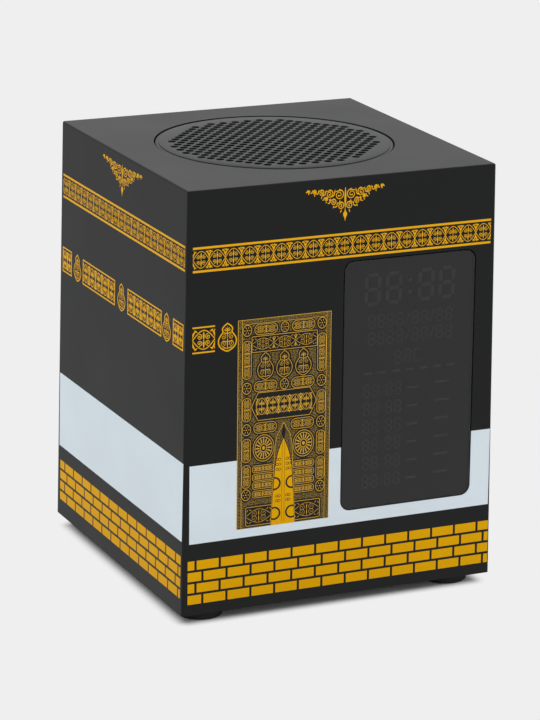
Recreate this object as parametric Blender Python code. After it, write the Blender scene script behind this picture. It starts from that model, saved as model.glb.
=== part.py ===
"""Azan clock lamp: a drafted square ABS case with a loudspeaker under a round grille
in its top, a tinted LED display in its front, and sprung keys in its back.

Metres, +Z up. The origin lies on the table, under the middle of the case.
The display faces -Y.
"""
import math

import bmesh
import bpy

# Case: one moulding, open at the bottom, wider at the foot by its mould draft
BASE_WIDTH = 0.114
CASE_HEIGHT = 0.143
DRAFT_DEG = 0.66
WALL = 0.0030
TOP_WALL = 0.0032
CASE_EDGE_RADIUS = 0.0015
FOOT_STANDOFF = 0.0040
SEAT_GAP = 0.0003
SLIDE_GAP = 0.00025
CUT_OVERRUN = 0.002
WELD_DEPTH = 0.0006

# Display panel in the front wall
LENS_WIDTH = 0.048
LENS_HEIGHT = 0.0852
LENS_RADIUS = 0.0033
LENS_THICKNESS = 0.0016
LENS_PROUD = 0.0002
LENS_SIDE_MARGIN = 0.0086
LENS_BOTTOM = 0.0294
LENS_LEDGE = 0.003
ADHESIVE_THICKNESS = 0.0003
DIFFUSER_THICKNESS = 0.0004
REFLECTOR_DEPTH = 0.0065
BOARD_THICKNESS = 0.0016
BOARD_MARGIN = 0.0005
DISPLAY_POST_DIAMETER = 0.0048

# Digits of the LED module
BIG_DIGIT_HEIGHT = 0.0112
BIG_DIGIT_WIDTH = 0.0056
BIG_DIGIT_PITCH = 0.0085
BIG_DIGIT_DROP = 0.0102
COLON_WIDTH = 0.0030
COLON_DOT = 0.0016
SEGMENT_WIDTH = 0.0011
SMALL_ROW_COUNT = 6
SMALL_ROW_PITCH = 0.0066
SMALL_ROW_DROP = 0.0440
SMALL_ROW_WIDTH = 0.0138
SMALL_ROW_HEIGHT = 0.0034
SMALL_ROW_INSET = 0.0062

# Loudspeaker and its round grille, all on the case's vertical axis
GRILLE_DIAMETER = 0.0806
GRILLE_THICKNESS = 0.0017
GRILLE_GROOVE = 0.0004
GRILLE_HOLE = 0.0029
GRILLE_PITCH = 0.0046
GRILLE_ROW_PITCH = 0.0025
GRILLE_FIELD_DIAMETER = 0.0727
SPEAKER_OPENING = 0.0730
CLOTH_THICKNESS = 0.0003
GASKET_WIDTH = 0.0025
GASKET_THICKNESS = 0.0020
FLANGE_WIDTH = 0.0780
FLANGE_CORNER = 0.0060
FLANGE_THICKNESS = 0.0012
SPEAKER_BORE = 0.0620
SPEAKER_BOSS_DIAMETER = 0.0068
SPEAKER_BOSS_SPACING = 0.0680
BASKET_DEPTH = 0.0165
BASKET_WALL = 0.0011
BASKET_ARM_WIDTH = 0.0090
MAGNET_DIAMETER = 0.0450
MAGNET_THICKNESS = 0.0080
MAGNET_BORE = 0.0220
POLE_PLATE_DIAMETER = 0.0420
POLE_PLATE_THICKNESS = 0.0024
POLE_DIAMETER = 0.0126
COIL_DIAMETER = 0.0148
COIL_WALL = 0.0006
COIL_HEIGHT = 0.0135
CONE_THICKNESS = 0.0006
CONE_DEPTH = 0.0080
SURROUND_WIDTH = 0.0042
SURROUND_THICKNESS = 0.0008
SURROUND_ROLL = 0.0016
DUST_CAP_RISE = 0.0030

# Bottom plate, feet and battery
PLATE_THICKNESS = 0.0024
PLATE_INSET = 0.0004
FOOT_DIAMETER = 0.0158
FOOT_FLAT_DIAMETER = 0.0132
FOOT_INSET = 0.0113
FOOT_SEAT_DEPTH = 0.0008
CASE_POST_DIAMETER = 0.0080
CASE_POST_WEB = 0.0050
CASE_POST_HEIGHT = 0.0160
CASE_POST_SPACING = 0.0500
CASE_POST_INSET = 0.0095
BATTERY_DIAMETER = 0.0183
BATTERY_LENGTH = 0.0650
BATTERY_TIP_DIAMETER = 0.0060
BATTERY_TIP_LENGTH = 0.0012
HOLDER_WALL = 0.0014

# Control panel in the back wall, with the main board behind it
PANEL_WIDTH = 0.0760
PANEL_HEIGHT = 0.0300
PANEL_RADIUS = 0.0030
PANEL_THICKNESS = 0.0018
PANEL_RECESS = 0.0002
PANEL_HEIGHT_ABOVE_BASE = 0.0420
PANEL_LEDGE_X = 0.0065
PANEL_LEDGE_Z = 0.0030
PANEL_POST_DIAMETER = 0.0052
PANEL_POST_LENGTH = 0.0052
KEY_DIAMETER = 0.0074
KEY_PROUD = 0.0007
KEY_END_MARGIN = 0.0039
KEY_ROW_RISE = 0.0055
KEY_FLANGE_DIAMETER = 0.0092
KEY_FLANGE_THICKNESS = 0.0009
KEY_STEM_DIAMETER = 0.0034
KEY_TRAVEL = 0.0006
KEY_SWITCH_WIDTH = 0.0060
KEY_SWITCH_BODY = 0.0034
KEY_PLUNGER_DIAMETER = 0.0035
KEY_PLUNGER_LENGTH = 0.0010
LOWER_ROW_DROP = 0.0070
LOWER_ROW_SHARE = 0.24
SWITCH_KNOB_WIDTH = 0.0034
SWITCH_KNOB_HEIGHT = 0.0024
SWITCH_TRAVEL = 0.0030
SWITCH_BODY_WIDTH = 0.0110
SWITCH_BODY_HEIGHT = 0.0052
SWITCH_BODY_DEPTH = 0.0048
SWITCH_ENGAGEMENT = 0.0016
SWITCH_SHOE_DEPTH = 0.0010
SWITCH_SHOE_REACH = 0.0010
SOCKET_WIDTH = 0.0090
SOCKET_HEIGHT = 0.0033
SOCKET_WALL = 0.0003
SOCKET_TONGUE_WIDTH = 0.0067
SOCKET_TONGUE_THICKNESS = 0.0007
SOCKET_TONGUE_RECESS = 0.0010
SOCKET_MOUTH_DEPTH = 0.0065
BOARD_SIDE_MARGIN = 0.0140
MAIN_BOARD_HEIGHT = 0.0440
BOARD_STACK = 0.0104
BOARD_POST_DIAMETER = 0.0048
BOARD_POST_INSET = 0.0040
CHIP_WIDTH = 0.0090
CHIP_THICKNESS = 0.0014

# Fasteners: three sizes of self-tapping screw
SMALL_SCREW_DIAMETER = 0.0016
SMALL_SCREW_HEAD = 0.0032
SMALL_SCREW_HEAD_HEIGHT = 0.0009
SMALL_SCREW_LENGTH = 0.0050
SCREW_DIAMETER = 0.0026
SCREW_HEAD = 0.0050
SCREW_HEAD_HEIGHT = 0.0014
SCREW_LENGTH = 0.0085
SPEAKER_SCREW_LENGTH = 0.0038
PILOT_DEPTH_SPARE = 0.0006

# Wires inside the case
WIRE_DIAMETER = 0.0016
WIRE_PULL = 0.0150
WIRE_STEP_DIAMETERS = 3
SPEAKER_LEAD_SHIFT = 0.0200
SPEAKER_LEAD_RISE = 0.0140
BATTERY_LEAD_SHIFT = 0.0200
BATTERY_LEAD_DROP = 0.0120
RIBBON_WIDTH = 0.0100
RIBBON_THICKNESS = 0.0006
RIBBON_SAG = 0.0160
RIBBON_RISE = 0.0100
RIBBON_STEPS = 14

ROUND_SIDES = 28
SMALL_SIDES = 16
SCREW_SIDES = 8
HOLE_SIDES = 6
CORNER_STEPS = 3
ROLL_STEPS = 3

DRAFT = math.radians(DRAFT_DEG)
CASE_TOP = FOOT_STANDOFF + CASE_HEIGHT
TOP_WIDTH = BASE_WIDTH - 2 * CASE_HEIGHT * math.tan(DRAFT)


def case_width(height):
    """Outer width of the case at a height above its bottom edge."""
    return BASE_WIDTH - 2 * height * math.tan(DRAFT)


def material(name, colour, roughness, metallic=0.0, alpha=1.0):
    """One Principled material for a kind of part."""
    new = bpy.data.materials.new(name)
    new.use_nodes = True
    shader = new.node_tree.nodes["Principled BSDF"]
    shader.inputs["Base Color"].default_value = (*colour, 1.0)
    shader.inputs["Roughness"].default_value = roughness
    shader.inputs["Metallic"].default_value = metallic
    shader.inputs["Alpha"].default_value = alpha
    new.diffuse_color = (*colour, alpha)
    return new


def place(along, u, v, depth):
    """A point from its two outline coordinates and its depth along one axis."""
    if along == "X":
        return (depth, u, v)
    if along == "Y":
        return (u, depth, v)
    return (u, v, depth)


def rounded_rectangle(width, height, radius, centre=(0, 0), steps=CORNER_STEPS):
    """Corner arcs of a rectangle, counter-clockwise."""
    points = []
    corners = ((1, 1, 0), (-1, 1, 1), (-1, -1, 2), (1, -1, 3))
    for side_u, side_v, quarter in corners:
        for step in range(steps + 1):
            angle = math.radians(90) * (quarter + step / steps)
            u = side_u * (width / 2 - radius) + radius * math.cos(angle)
            v = side_v * (height / 2 - radius) + radius * math.sin(angle)
            points.append((centre[0] + u, centre[1] + v))
    return points


def rectangle(width, height, centre=(0, 0)):
    """Four corners of a rectangle."""
    corners = ((1, 1), (-1, 1), (-1, -1), (1, -1))
    return [(centre[0] + u * width / 2, centre[1] + v * height / 2) for u, v in corners]


def regular_polygon(diameter, sides, centre=(0, 0)):
    """Corners of a regular polygon, one of them on the first axis."""
    points = []
    for side in range(sides):
        angle = math.tau * side / sides
        u = centre[0] + diameter / 2 * math.cos(angle)
        v = centre[1] + diameter / 2 * math.sin(angle)
        points.append((u, v))
    return points


def prism(outline, low, high, along):
    """An outline extruded along one axis."""
    mesh = bmesh.new()
    rings = []
    for depth in (low, high):
        rings.append([mesh.verts.new(place(along, u, v, depth)) for u, v in outline])
    mesh.faces.new(rings[0])
    mesh.faces.new(rings[1])
    count = len(outline)
    for index in range(count):
        after = (index + 1) % count
        mesh.faces.new((rings[0][index], rings[0][after], rings[1][after], rings[1][index]))
    return mesh


def turned(profile, along="Z", centre=(0, 0), sides=ROUND_SIDES):
    """A profile of (radius, depth) points turned about an axis; it closes on itself or on the axis."""
    mesh = bmesh.new()
    rings = []
    for radius, depth in profile:
        if radius == 0:
            rings.append([mesh.verts.new(place(along, *centre, depth))])
            continue
        outline = regular_polygon(2 * radius, sides, centre)
        rings.append([mesh.verts.new(place(along, u, v, depth)) for u, v in outline])
    pairs = list(zip(rings, rings[1:]))
    if profile[0][0] > 0:
        pairs.append((rings[-1], rings[0]))
    for first, second in pairs:
        for side in range(sides):
            after = (side + 1) % sides
            corners = [first[side % len(first)], first[after % len(first)],
                       second[after % len(second)], second[side % len(second)]]
            unique = list(dict.fromkeys(corners))
            if len(unique) > 2:
                mesh.faces.new(unique)
    return mesh


def disc(diameter, low, high, along="Z", centre=(0, 0), sides=ROUND_SIDES):
    """A plain round slug."""
    radius = diameter / 2
    return turned([(0, low), (radius, low), (radius, high), (0, high)], along, centre, sides)


def ring(inner, outer, low, high, along="Z", centre=(0, 0), sides=ROUND_SIDES):
    """A flat washer between two diameters."""
    profile = [(inner / 2, low), (outer / 2, low), (outer / 2, high), (inner / 2, high)]
    return turned(profile, along, centre, sides)


def post(diameter, bore, root, tip, hole_end, along, centre, sides=SCREW_SIDES):
    """A screw post from its root to its tip, with a blind pilot hole in the tip."""
    profile = [(0, root), (diameter / 2, root), (diameter / 2, tip), (bore / 2, tip),
               (bore / 2, hole_end), (0, hole_end)]
    return turned(profile, along, centre, sides)


def gather(meshes):
    """Several separate meshes in one, for a cutter or a set of ribs."""
    whole = bmesh.new()
    for mesh in meshes:
        copied = {}
        for vertex in mesh.verts:
            copied[vertex] = whole.verts.new(vertex.co)
        for face in mesh.faces:
            whole.faces.new([copied[vertex] for vertex in face.verts])
        mesh.free()
    return whole


def solid(name, mesh, surface, parent=None, location=(0, 0, 0), smooth_below=35):
    """An object from a mesh, with its faces pointing out."""
    bmesh.ops.recalc_face_normals(mesh, faces=mesh.faces)
    data = bpy.data.meshes.new(name)
    mesh.to_mesh(data)
    mesh.free()
    data.shade_smooth()
    data.set_sharp_from_angle(angle=math.radians(smooth_below))
    new = bpy.data.objects.new(name, data)
    if surface is not None:
        data.materials.append(surface)
    new.parent = parent
    new.location = location
    bpy.context.scene.collection.objects.link(new)
    return new


def combine(target, mesh, operation, parent=None, location=(0, 0, 0)):
    """Cuts a hidden tool from a piece, or welds it on."""
    tool = solid(f"{target.name}_{operation.lower()}_{len(target.modifiers)}", mesh, None,
                 parent, location)
    tool.hide_render = True
    tool.display_type = "WIRE"
    modifier = target.modifiers.new(tool.name, "BOOLEAN")
    modifier.operation = operation
    modifier.solver = "EXACT"
    modifier.object = tool
    return modifier


def cut(target, mesh, parent=None, location=(0, 0, 0)):
    """Takes a shape out of a piece."""
    combine(target, mesh, "DIFFERENCE", parent, location)


def weld(target, mesh, parent=None, location=(0, 0, 0)):
    """Adds a shape to a piece as one body."""
    combine(target, mesh, "UNION", parent, location)


def empty(name, location, rotation):
    """A frame that pieces hang from."""
    new = bpy.data.objects.new(name, None)
    new.location = location
    new.rotation_euler = rotation
    bpy.context.scene.collection.objects.link(new)
    return new


def screw(name, diameter, head, head_height, length, along, centre, seat, towards, parent=None):
    """A pan-head screw whose head rests at a seat and whose shank runs towards one way."""
    under_head = seat - towards * SEAT_GAP
    profile = [(0, under_head - towards * head_height), (head / 2, under_head - towards * head_height),
               (head / 2, under_head), (diameter / 2, under_head),
               (diameter / 2, under_head + towards * length), (0, under_head + towards * length)]
    return solid(name, turned(profile, along, centre, SCREW_SIDES), STEEL, parent)


def drafted_block(width_low, width_high, low, high, edge_radius):
    """A square block whose four sides lean in, with rounded upright and top edges."""
    mesh = bmesh.new()
    rings = []
    for width, height in ((width_low, low), (width_high, high)):
        rings.append([mesh.verts.new((u, v, height)) for u, v in rectangle(width, width)])
    mesh.faces.new(rings[0])
    mesh.faces.new(rings[1])
    for index in range(4):
        after = (index + 1) % 4
        mesh.faces.new((rings[0][index], rings[0][after], rings[1][after], rings[1][index]))
    if edge_radius > 0:
        lowest = set(rings[0])
        edges = [edge for edge in mesh.edges if not set(edge.verts) <= lowest]
        bmesh.ops.bevel(mesh, geom=edges, offset=edge_radius, segments=CORNER_STEPS, profile=0.5,
                        affect="EDGES")
    return mesh


def seven_segments(left, bottom, width, height):
    """The seven bars of one digit, as hexagonal outlines."""
    half = SEGMENT_WIDTH / 2
    middle = bottom + height / 2
    top = bottom + height
    gap = half / 2
    bars = []
    for level in (bottom + half, middle, top - half):
        start = left + half + gap
        end = left + width - half - gap
        bars.append([(start, level), (start + half, level - half), (end - half, level - half),
                     (end, level), (end - half, level + half), (start + half, level + half)])
    for side in (left + half, left + width - half):
        for low, high in ((bottom + half, middle), (middle, top - half)):
            start = low + gap
            end = high - gap
            bars.append([(side, start), (side + half, start + half), (side + half, end - half),
                         (side, end), (side - half, end - half), (side - half, start + half)])
    return bars


def tube(name, points, diameter, surface):
    """A wire along a smooth curve, with closed ends."""
    curve = bpy.data.curves.new(name, "CURVE")
    curve.dimensions = "3D"
    curve.bevel_depth = diameter / 2
    curve.bevel_resolution = 2
    curve.use_fill_caps = True
    spline = curve.splines.new("POLY")
    spline.points.add(len(points) - 1)
    for point, place_of in zip(spline.points, points):
        point.co = (*place_of, 1)
    curve.materials.append(surface)
    new = bpy.data.objects.new(name, curve)
    bpy.context.scene.collection.objects.link(new)
    return new


def bend(start, start_pull, end_pull, end, steps):
    """Points of one smooth cubic bend between two ends and their pulls."""
    points = []
    for step in range(steps + 1):
        t = step / steps
        weights = ((1 - t) ** 3, 3 * t * (1 - t) ** 2, 3 * t ** 2 * (1 - t), t ** 3)
        corners = (start, start_pull, end_pull, end)
        points.append(tuple(sum(weight * corner[axis] for weight, corner in zip(weights, corners))
                            for axis in range(3)))
    return points


def front_point(across, depth, height):
    """World place of a point in the leaning front wall's own directions."""
    inward = depth * math.cos(DRAFT) + height * math.sin(DRAFT)
    upward = height * math.cos(DRAFT) - depth * math.sin(DRAFT)
    return (across, -BASE_WIDTH / 2 + inward, FOOT_STANDOFF + upward)


def back_point(across, depth, height):
    """World place of a point in the leaning back wall's own directions."""
    x, y, z = front_point(across, depth, height)
    return (-x, -y, z)


for existing in list(bpy.data.objects):
    bpy.data.objects.remove(existing, do_unlink=True)

BLACK_ABS = material("black_abs", (0.028, 0.028, 0.029), 0.55)
GRILLE_ABS = material("grille_abs", (0.030, 0.030, 0.031), 0.5)
TINTED_ACRYLIC = material("tinted_acrylic", (0.032, 0.033, 0.036), 0.12)
ADHESIVE = material("adhesive_tape", (0.02, 0.02, 0.02), 0.8)
MILKY_SHEET = material("diffuser_sheet", (0.35, 0.35, 0.36), 0.5)
REFLECTOR_WHITE = material("reflector_plastic", (0.12, 0.12, 0.12), 0.6)
BOARD_GREEN = material("circuit_board", (0.02, 0.11, 0.05), 0.45)
STEEL = material("zinc_steel", (0.62, 0.62, 0.60), 0.35, 1.0)
BASKET_STEEL = material("black_steel", (0.05, 0.05, 0.05), 0.5, 0.6)
FERRITE = material("ferrite", (0.06, 0.06, 0.065), 0.7)
PAPER_CONE = material("paper_cone", (0.045, 0.043, 0.04), 0.9)
COPPER = material("coil_copper", (0.70, 0.32, 0.16), 0.35, 1.0)
RUBBER = material("foot_rubber", (0.018, 0.018, 0.018), 0.85)
FOAM = material("gasket_foam", (0.04, 0.04, 0.04), 0.95)
CLOTH = material("speaker_cloth", (0.02, 0.02, 0.02), 0.95)
KEY_PLASTIC = material("key_plastic", (0.05, 0.05, 0.052), 0.45)
SWITCH_BLACK = material("switch_plastic", (0.03, 0.03, 0.03), 0.5)
NICKEL = material("nickel_shell", (0.70, 0.69, 0.66), 0.3, 1.0)
CELL_WRAP = material("cell_wrap", (0.05, 0.16, 0.38), 0.4)
WIRE_RED = material("wire_sleeve_red", (0.45, 0.03, 0.03), 0.5)
RIBBON_GREY = material("ribbon_grey", (0.35, 0.36, 0.38), 0.5)

front_face = empty("front_face", (0, -BASE_WIDTH / 2, FOOT_STANDOFF), (-DRAFT, 0, 0))
back_face = empty("back_face", (0, BASE_WIDTH / 2, FOOT_STANDOFF), (-DRAFT, 0, math.pi))

# Depths behind the outer skin of the front wall
LENS_BACK = LENS_THICKNESS - LENS_PROUD
ADHESIVE_FRONT = LENS_BACK + SEAT_GAP
LENS_SEAT = ADHESIVE_FRONT + ADHESIVE_THICKNESS + SEAT_GAP
DIFFUSER_FRONT = LENS_BACK + SEAT_GAP
REFLECTOR_FRONT = DIFFUSER_FRONT + DIFFUSER_THICKNESS + SEAT_GAP
REFLECTOR_BACK = REFLECTOR_FRONT + REFLECTOR_DEPTH
DISPLAY_BOARD_FRONT = REFLECTOR_BACK + SEAT_GAP
DISPLAY_BOARD_BACK = DISPLAY_BOARD_FRONT + BOARD_THICKNESS
LENS_OFFSET = BASE_WIDTH / 2 - LENS_SIDE_MARGIN - LENS_WIDTH / 2
LENS_MIDDLE = LENS_BOTTOM + LENS_HEIGHT / 2
LENS_CENTRE = (LENS_OFFSET, LENS_MIDDLE)
WINDOW_WIDTH = LENS_WIDTH - 2 * LENS_LEDGE
WINDOW_HEIGHT = LENS_HEIGHT - 2 * LENS_LEDGE
REFLECTOR_WIDTH = WINDOW_WIDTH - 2 * SEAT_GAP
REFLECTOR_HEIGHT = WINDOW_HEIGHT - 2 * SEAT_GAP
DISPLAY_POST_X = WINDOW_WIDTH / 2 + SEAT_GAP + DISPLAY_POST_DIAMETER / 2
DISPLAY_POST_Z = REFLECTOR_HEIGHT / 2 - DISPLAY_POST_DIAMETER
DISPLAY_BOARD_WIDTH = 2 * DISPLAY_POST_X + SMALL_SCREW_HEAD + 2 * BOARD_MARGIN
DISPLAY_POSTS = [(LENS_OFFSET + u * DISPLAY_POST_X, LENS_MIDDLE + v * DISPLAY_POST_Z)
                 for u in (-1, 1) for v in (-1, 1)]

# Heights below the top of the case
GRILLE_SEAT = CASE_TOP - GRILLE_THICKNESS - SEAT_GAP
UNDER_TOP = CASE_TOP - TOP_WALL
GASKET_TOP = UNDER_TOP - SEAT_GAP
FLANGE_TOP = GASKET_TOP - GASKET_THICKNESS - SEAT_GAP
FLANGE_BOTTOM = FLANGE_TOP - FLANGE_THICKNESS
SPEAKER_HOLES = [(u * SPEAKER_BOSS_SPACING / 2, v * SPEAKER_BOSS_SPACING / 2)
                 for u in (-1, 1) for v in (-1, 1)]

# Heights and places round the bottom plate
PLATE_BOTTOM = FOOT_STANDOFF + PLATE_INSET
PLATE_TOP = PLATE_BOTTOM + PLATE_THICKNESS
PLATE_WIDTH = case_width(PLATE_THICKNESS + PLATE_INSET) - 2 * WALL - 2 * SEAT_GAP
POST_BOTTOM = PLATE_TOP + SEAT_GAP
POST_TOP = POST_BOTTOM + CASE_POST_HEIGHT
POST_X = BASE_WIDTH / 2 - CASE_POST_INSET
CASE_POSTS = [(u * POST_X, v * CASE_POST_SPACING / 2) for u in (-1, 1) for v in (-1, 1)]
FOOT_PLACE = BASE_WIDTH / 2 - FOOT_INSET

# Depths behind the outer skin of the back wall
PANEL_BACK = PANEL_RECESS + PANEL_THICKNESS
PANEL_SEAT = PANEL_BACK + SEAT_GAP
KEY_FLANGE_FRONT = PANEL_BACK + SEAT_GAP
KEY_FLANGE_BACK = KEY_FLANGE_FRONT + KEY_FLANGE_THICKNESS
MAIN_BOARD_FRONT = WALL + BOARD_STACK
MAIN_BOARD_BACK = MAIN_BOARD_FRONT + BOARD_THICKNESS
PART_BACK = MAIN_BOARD_FRONT - SEAT_GAP
KEY_SWITCH_FRONT = PART_BACK - KEY_SWITCH_BODY
PLUNGER_FRONT = KEY_SWITCH_FRONT - KEY_PLUNGER_LENGTH
KEY_STEM_END = PLUNGER_FRONT - KEY_TRAVEL - SEAT_GAP
SWITCH_BODY_FRONT = PART_BACK - SWITCH_BODY_DEPTH
PANEL_CENTRE_Z = PANEL_HEIGHT_ABOVE_BASE
KEY_ROW_Z = PANEL_CENTRE_Z + KEY_ROW_RISE
LOWER_ROW_Z = PANEL_CENTRE_Z - LOWER_ROW_DROP
WELL_WIDTH = PANEL_WIDTH - 2 * PANEL_LEDGE_X
WELL_HEIGHT = PANEL_HEIGHT - 2 * PANEL_LEDGE_Z
PANEL_SCREW_X = WELL_WIDTH / 2 + PANEL_LEDGE_X / 2
PANEL_POST_END = WALL + PANEL_POST_LENGTH
MAIN_BOARD_Z = PANEL_CENTRE_Z
MAIN_BOARD_WIDTH = BASE_WIDTH - 2 * BOARD_SIDE_MARGIN
BOARD_POST_X = MAIN_BOARD_WIDTH / 2 - BOARD_POST_INSET
BOARD_POST_Z = MAIN_BOARD_HEIGHT / 2 - BOARD_POST_INSET
BOARD_POSTS = [(u * BOARD_POST_X, MAIN_BOARD_Z + v * BOARD_POST_Z) for u in (-1, 1) for v in (-1, 1)]
KEY_NAMES = ("volume_down", "previous", "play_mode", "next", "volume_up")
KEY_PITCH = (WELL_WIDTH - 2 * KEY_END_MARGIN - KEY_FLANGE_DIAMETER) / (len(KEY_NAMES) - 1)
KEY_PLACES = [(index - (len(KEY_NAMES) - 1) / 2) * KEY_PITCH for index in range(len(KEY_NAMES))]
SWITCH_X = -LOWER_ROW_SHARE * WELL_WIDTH
SOCKET_X = LOWER_ROW_SHARE * WELL_WIDTH
PILOT_CLEARANCE = 2 * SEAT_GAP


def counterbore_depth():
    """Height at which the heads of the bottom screws bear on the plate."""
    return PLATE_BOTTOM + SCREW_HEAD_HEIGHT + SEAT_GAP


def build_case():
    """The drafted case with its seats, wells, posts and bosses."""
    case = solid("outer_shell", drafted_block(BASE_WIDTH, TOP_WIDTH, FOOT_STANDOFF, CASE_TOP,
                                              CASE_EDGE_RADIUS), BLACK_ABS)
    lean = CUT_OVERRUN * math.tan(DRAFT)
    inside_height = CASE_HEIGHT - TOP_WALL
    cavity = drafted_block(BASE_WIDTH - 2 * WALL + 2 * lean, case_width(inside_height) - 2 * WALL,
                           FOOT_STANDOFF - CUT_OVERRUN, UNDER_TOP, 0)
    cut(case, cavity)

    pilot = SMALL_SCREW_DIAMETER + PILOT_CLEARANCE
    hole_end = DISPLAY_BOARD_BACK + SEAT_GAP - SMALL_SCREW_LENGTH - PILOT_DEPTH_SPARE
    posts = [post(DISPLAY_POST_DIAMETER, pilot, WALL - WELD_DEPTH, REFLECTOR_BACK, hole_end, "Y", centre)
             for centre in DISPLAY_POSTS]
    weld(case, gather(posts), front_face)
    hole_end = FLANGE_BOTTOM - SEAT_GAP + SPEAKER_SCREW_LENGTH + PILOT_DEPTH_SPARE
    bosses = [post(SPEAKER_BOSS_DIAMETER, pilot, UNDER_TOP + WELD_DEPTH, FLANGE_TOP + SEAT_GAP, hole_end,
                   "Z", centre) for centre in SPEAKER_HOLES]
    hole_end = counterbore_depth() + SCREW_LENGTH + PILOT_DEPTH_SPARE
    for u, v in CASE_POSTS:
        bosses.append(post(CASE_POST_DIAMETER, SCREW_DIAMETER + PILOT_CLEARANCE, POST_TOP, POST_BOTTOM,
                           hole_end, "Z", (u, v), SMALL_SIDES))
    weld(case, gather(bosses))
    webs = []
    for u, v in CASE_POSTS:
        side = math.copysign(1, u)
        web_start = abs(u) + CASE_POST_DIAMETER / 2 - WELD_DEPTH
        web_end = case_width(0) / 2 - WALL + WELD_DEPTH
        web_middle = (side * (web_start + web_end) / 2, v)
        webs.append(prism(rectangle(web_end - web_start, CASE_POST_WEB, web_middle),
                          POST_BOTTOM + WELD_DEPTH, POST_TOP - WELD_DEPTH, "Z"))
    weld(case, gather(webs))
    hole_end = MAIN_BOARD_BACK + SEAT_GAP - SMALL_SCREW_LENGTH - PILOT_DEPTH_SPARE
    posts = [post(BOARD_POST_DIAMETER, pilot, WALL - WELD_DEPTH, PART_BACK, hole_end, "Y", centre)
             for centre in BOARD_POSTS]
    for side in (-1, 1):
        posts.append(disc(PANEL_POST_DIAMETER, WALL - WELD_DEPTH, PANEL_POST_END, "Y",
                          (side * PANEL_SCREW_X, PANEL_CENTRE_Z), SCREW_SIDES))
    weld(case, gather(posts), back_face)

    seat = rounded_rectangle(LENS_WIDTH + 2 * SEAT_GAP, LENS_HEIGHT + 2 * SEAT_GAP,
                             LENS_RADIUS + SEAT_GAP, LENS_CENTRE)
    cut(case, prism(seat, -CUT_OVERRUN, LENS_SEAT, "Y"), front_face)
    cut(case, prism(rectangle(WINDOW_WIDTH, WINDOW_HEIGHT, LENS_CENTRE), 0, WALL + CUT_OVERRUN, "Y"),
        front_face)

    cut(case, disc(GRILLE_DIAMETER + 2 * GRILLE_GROOVE, GRILLE_SEAT, CASE_TOP + CUT_OVERRUN, "Z",
                   sides=2 * ROUND_SIDES))
    cut(case, disc(SPEAKER_OPENING, UNDER_TOP - CUT_OVERRUN, CASE_TOP, "Z"))

    recess = rounded_rectangle(PANEL_WIDTH + 2 * SEAT_GAP, PANEL_HEIGHT + 2 * SEAT_GAP,
                               PANEL_RADIUS + SEAT_GAP, (0, PANEL_CENTRE_Z))
    cut(case, prism(recess, -CUT_OVERRUN, PANEL_SEAT, "Y"), back_face)
    cut(case, prism(rectangle(WELL_WIDTH, WELL_HEIGHT, (0, PANEL_CENTRE_Z)), 0, WALL + CUT_OVERRUN, "Y"),
        back_face)
    hole_end = PANEL_BACK + SMALL_SCREW_LENGTH
    holes = [disc(pilot, 0, hole_end, "Y",
                  (side * PANEL_SCREW_X, PANEL_CENTRE_Z), SCREW_SIDES) for side in (-1, 1)]
    cut(case, gather(holes), back_face)


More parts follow.
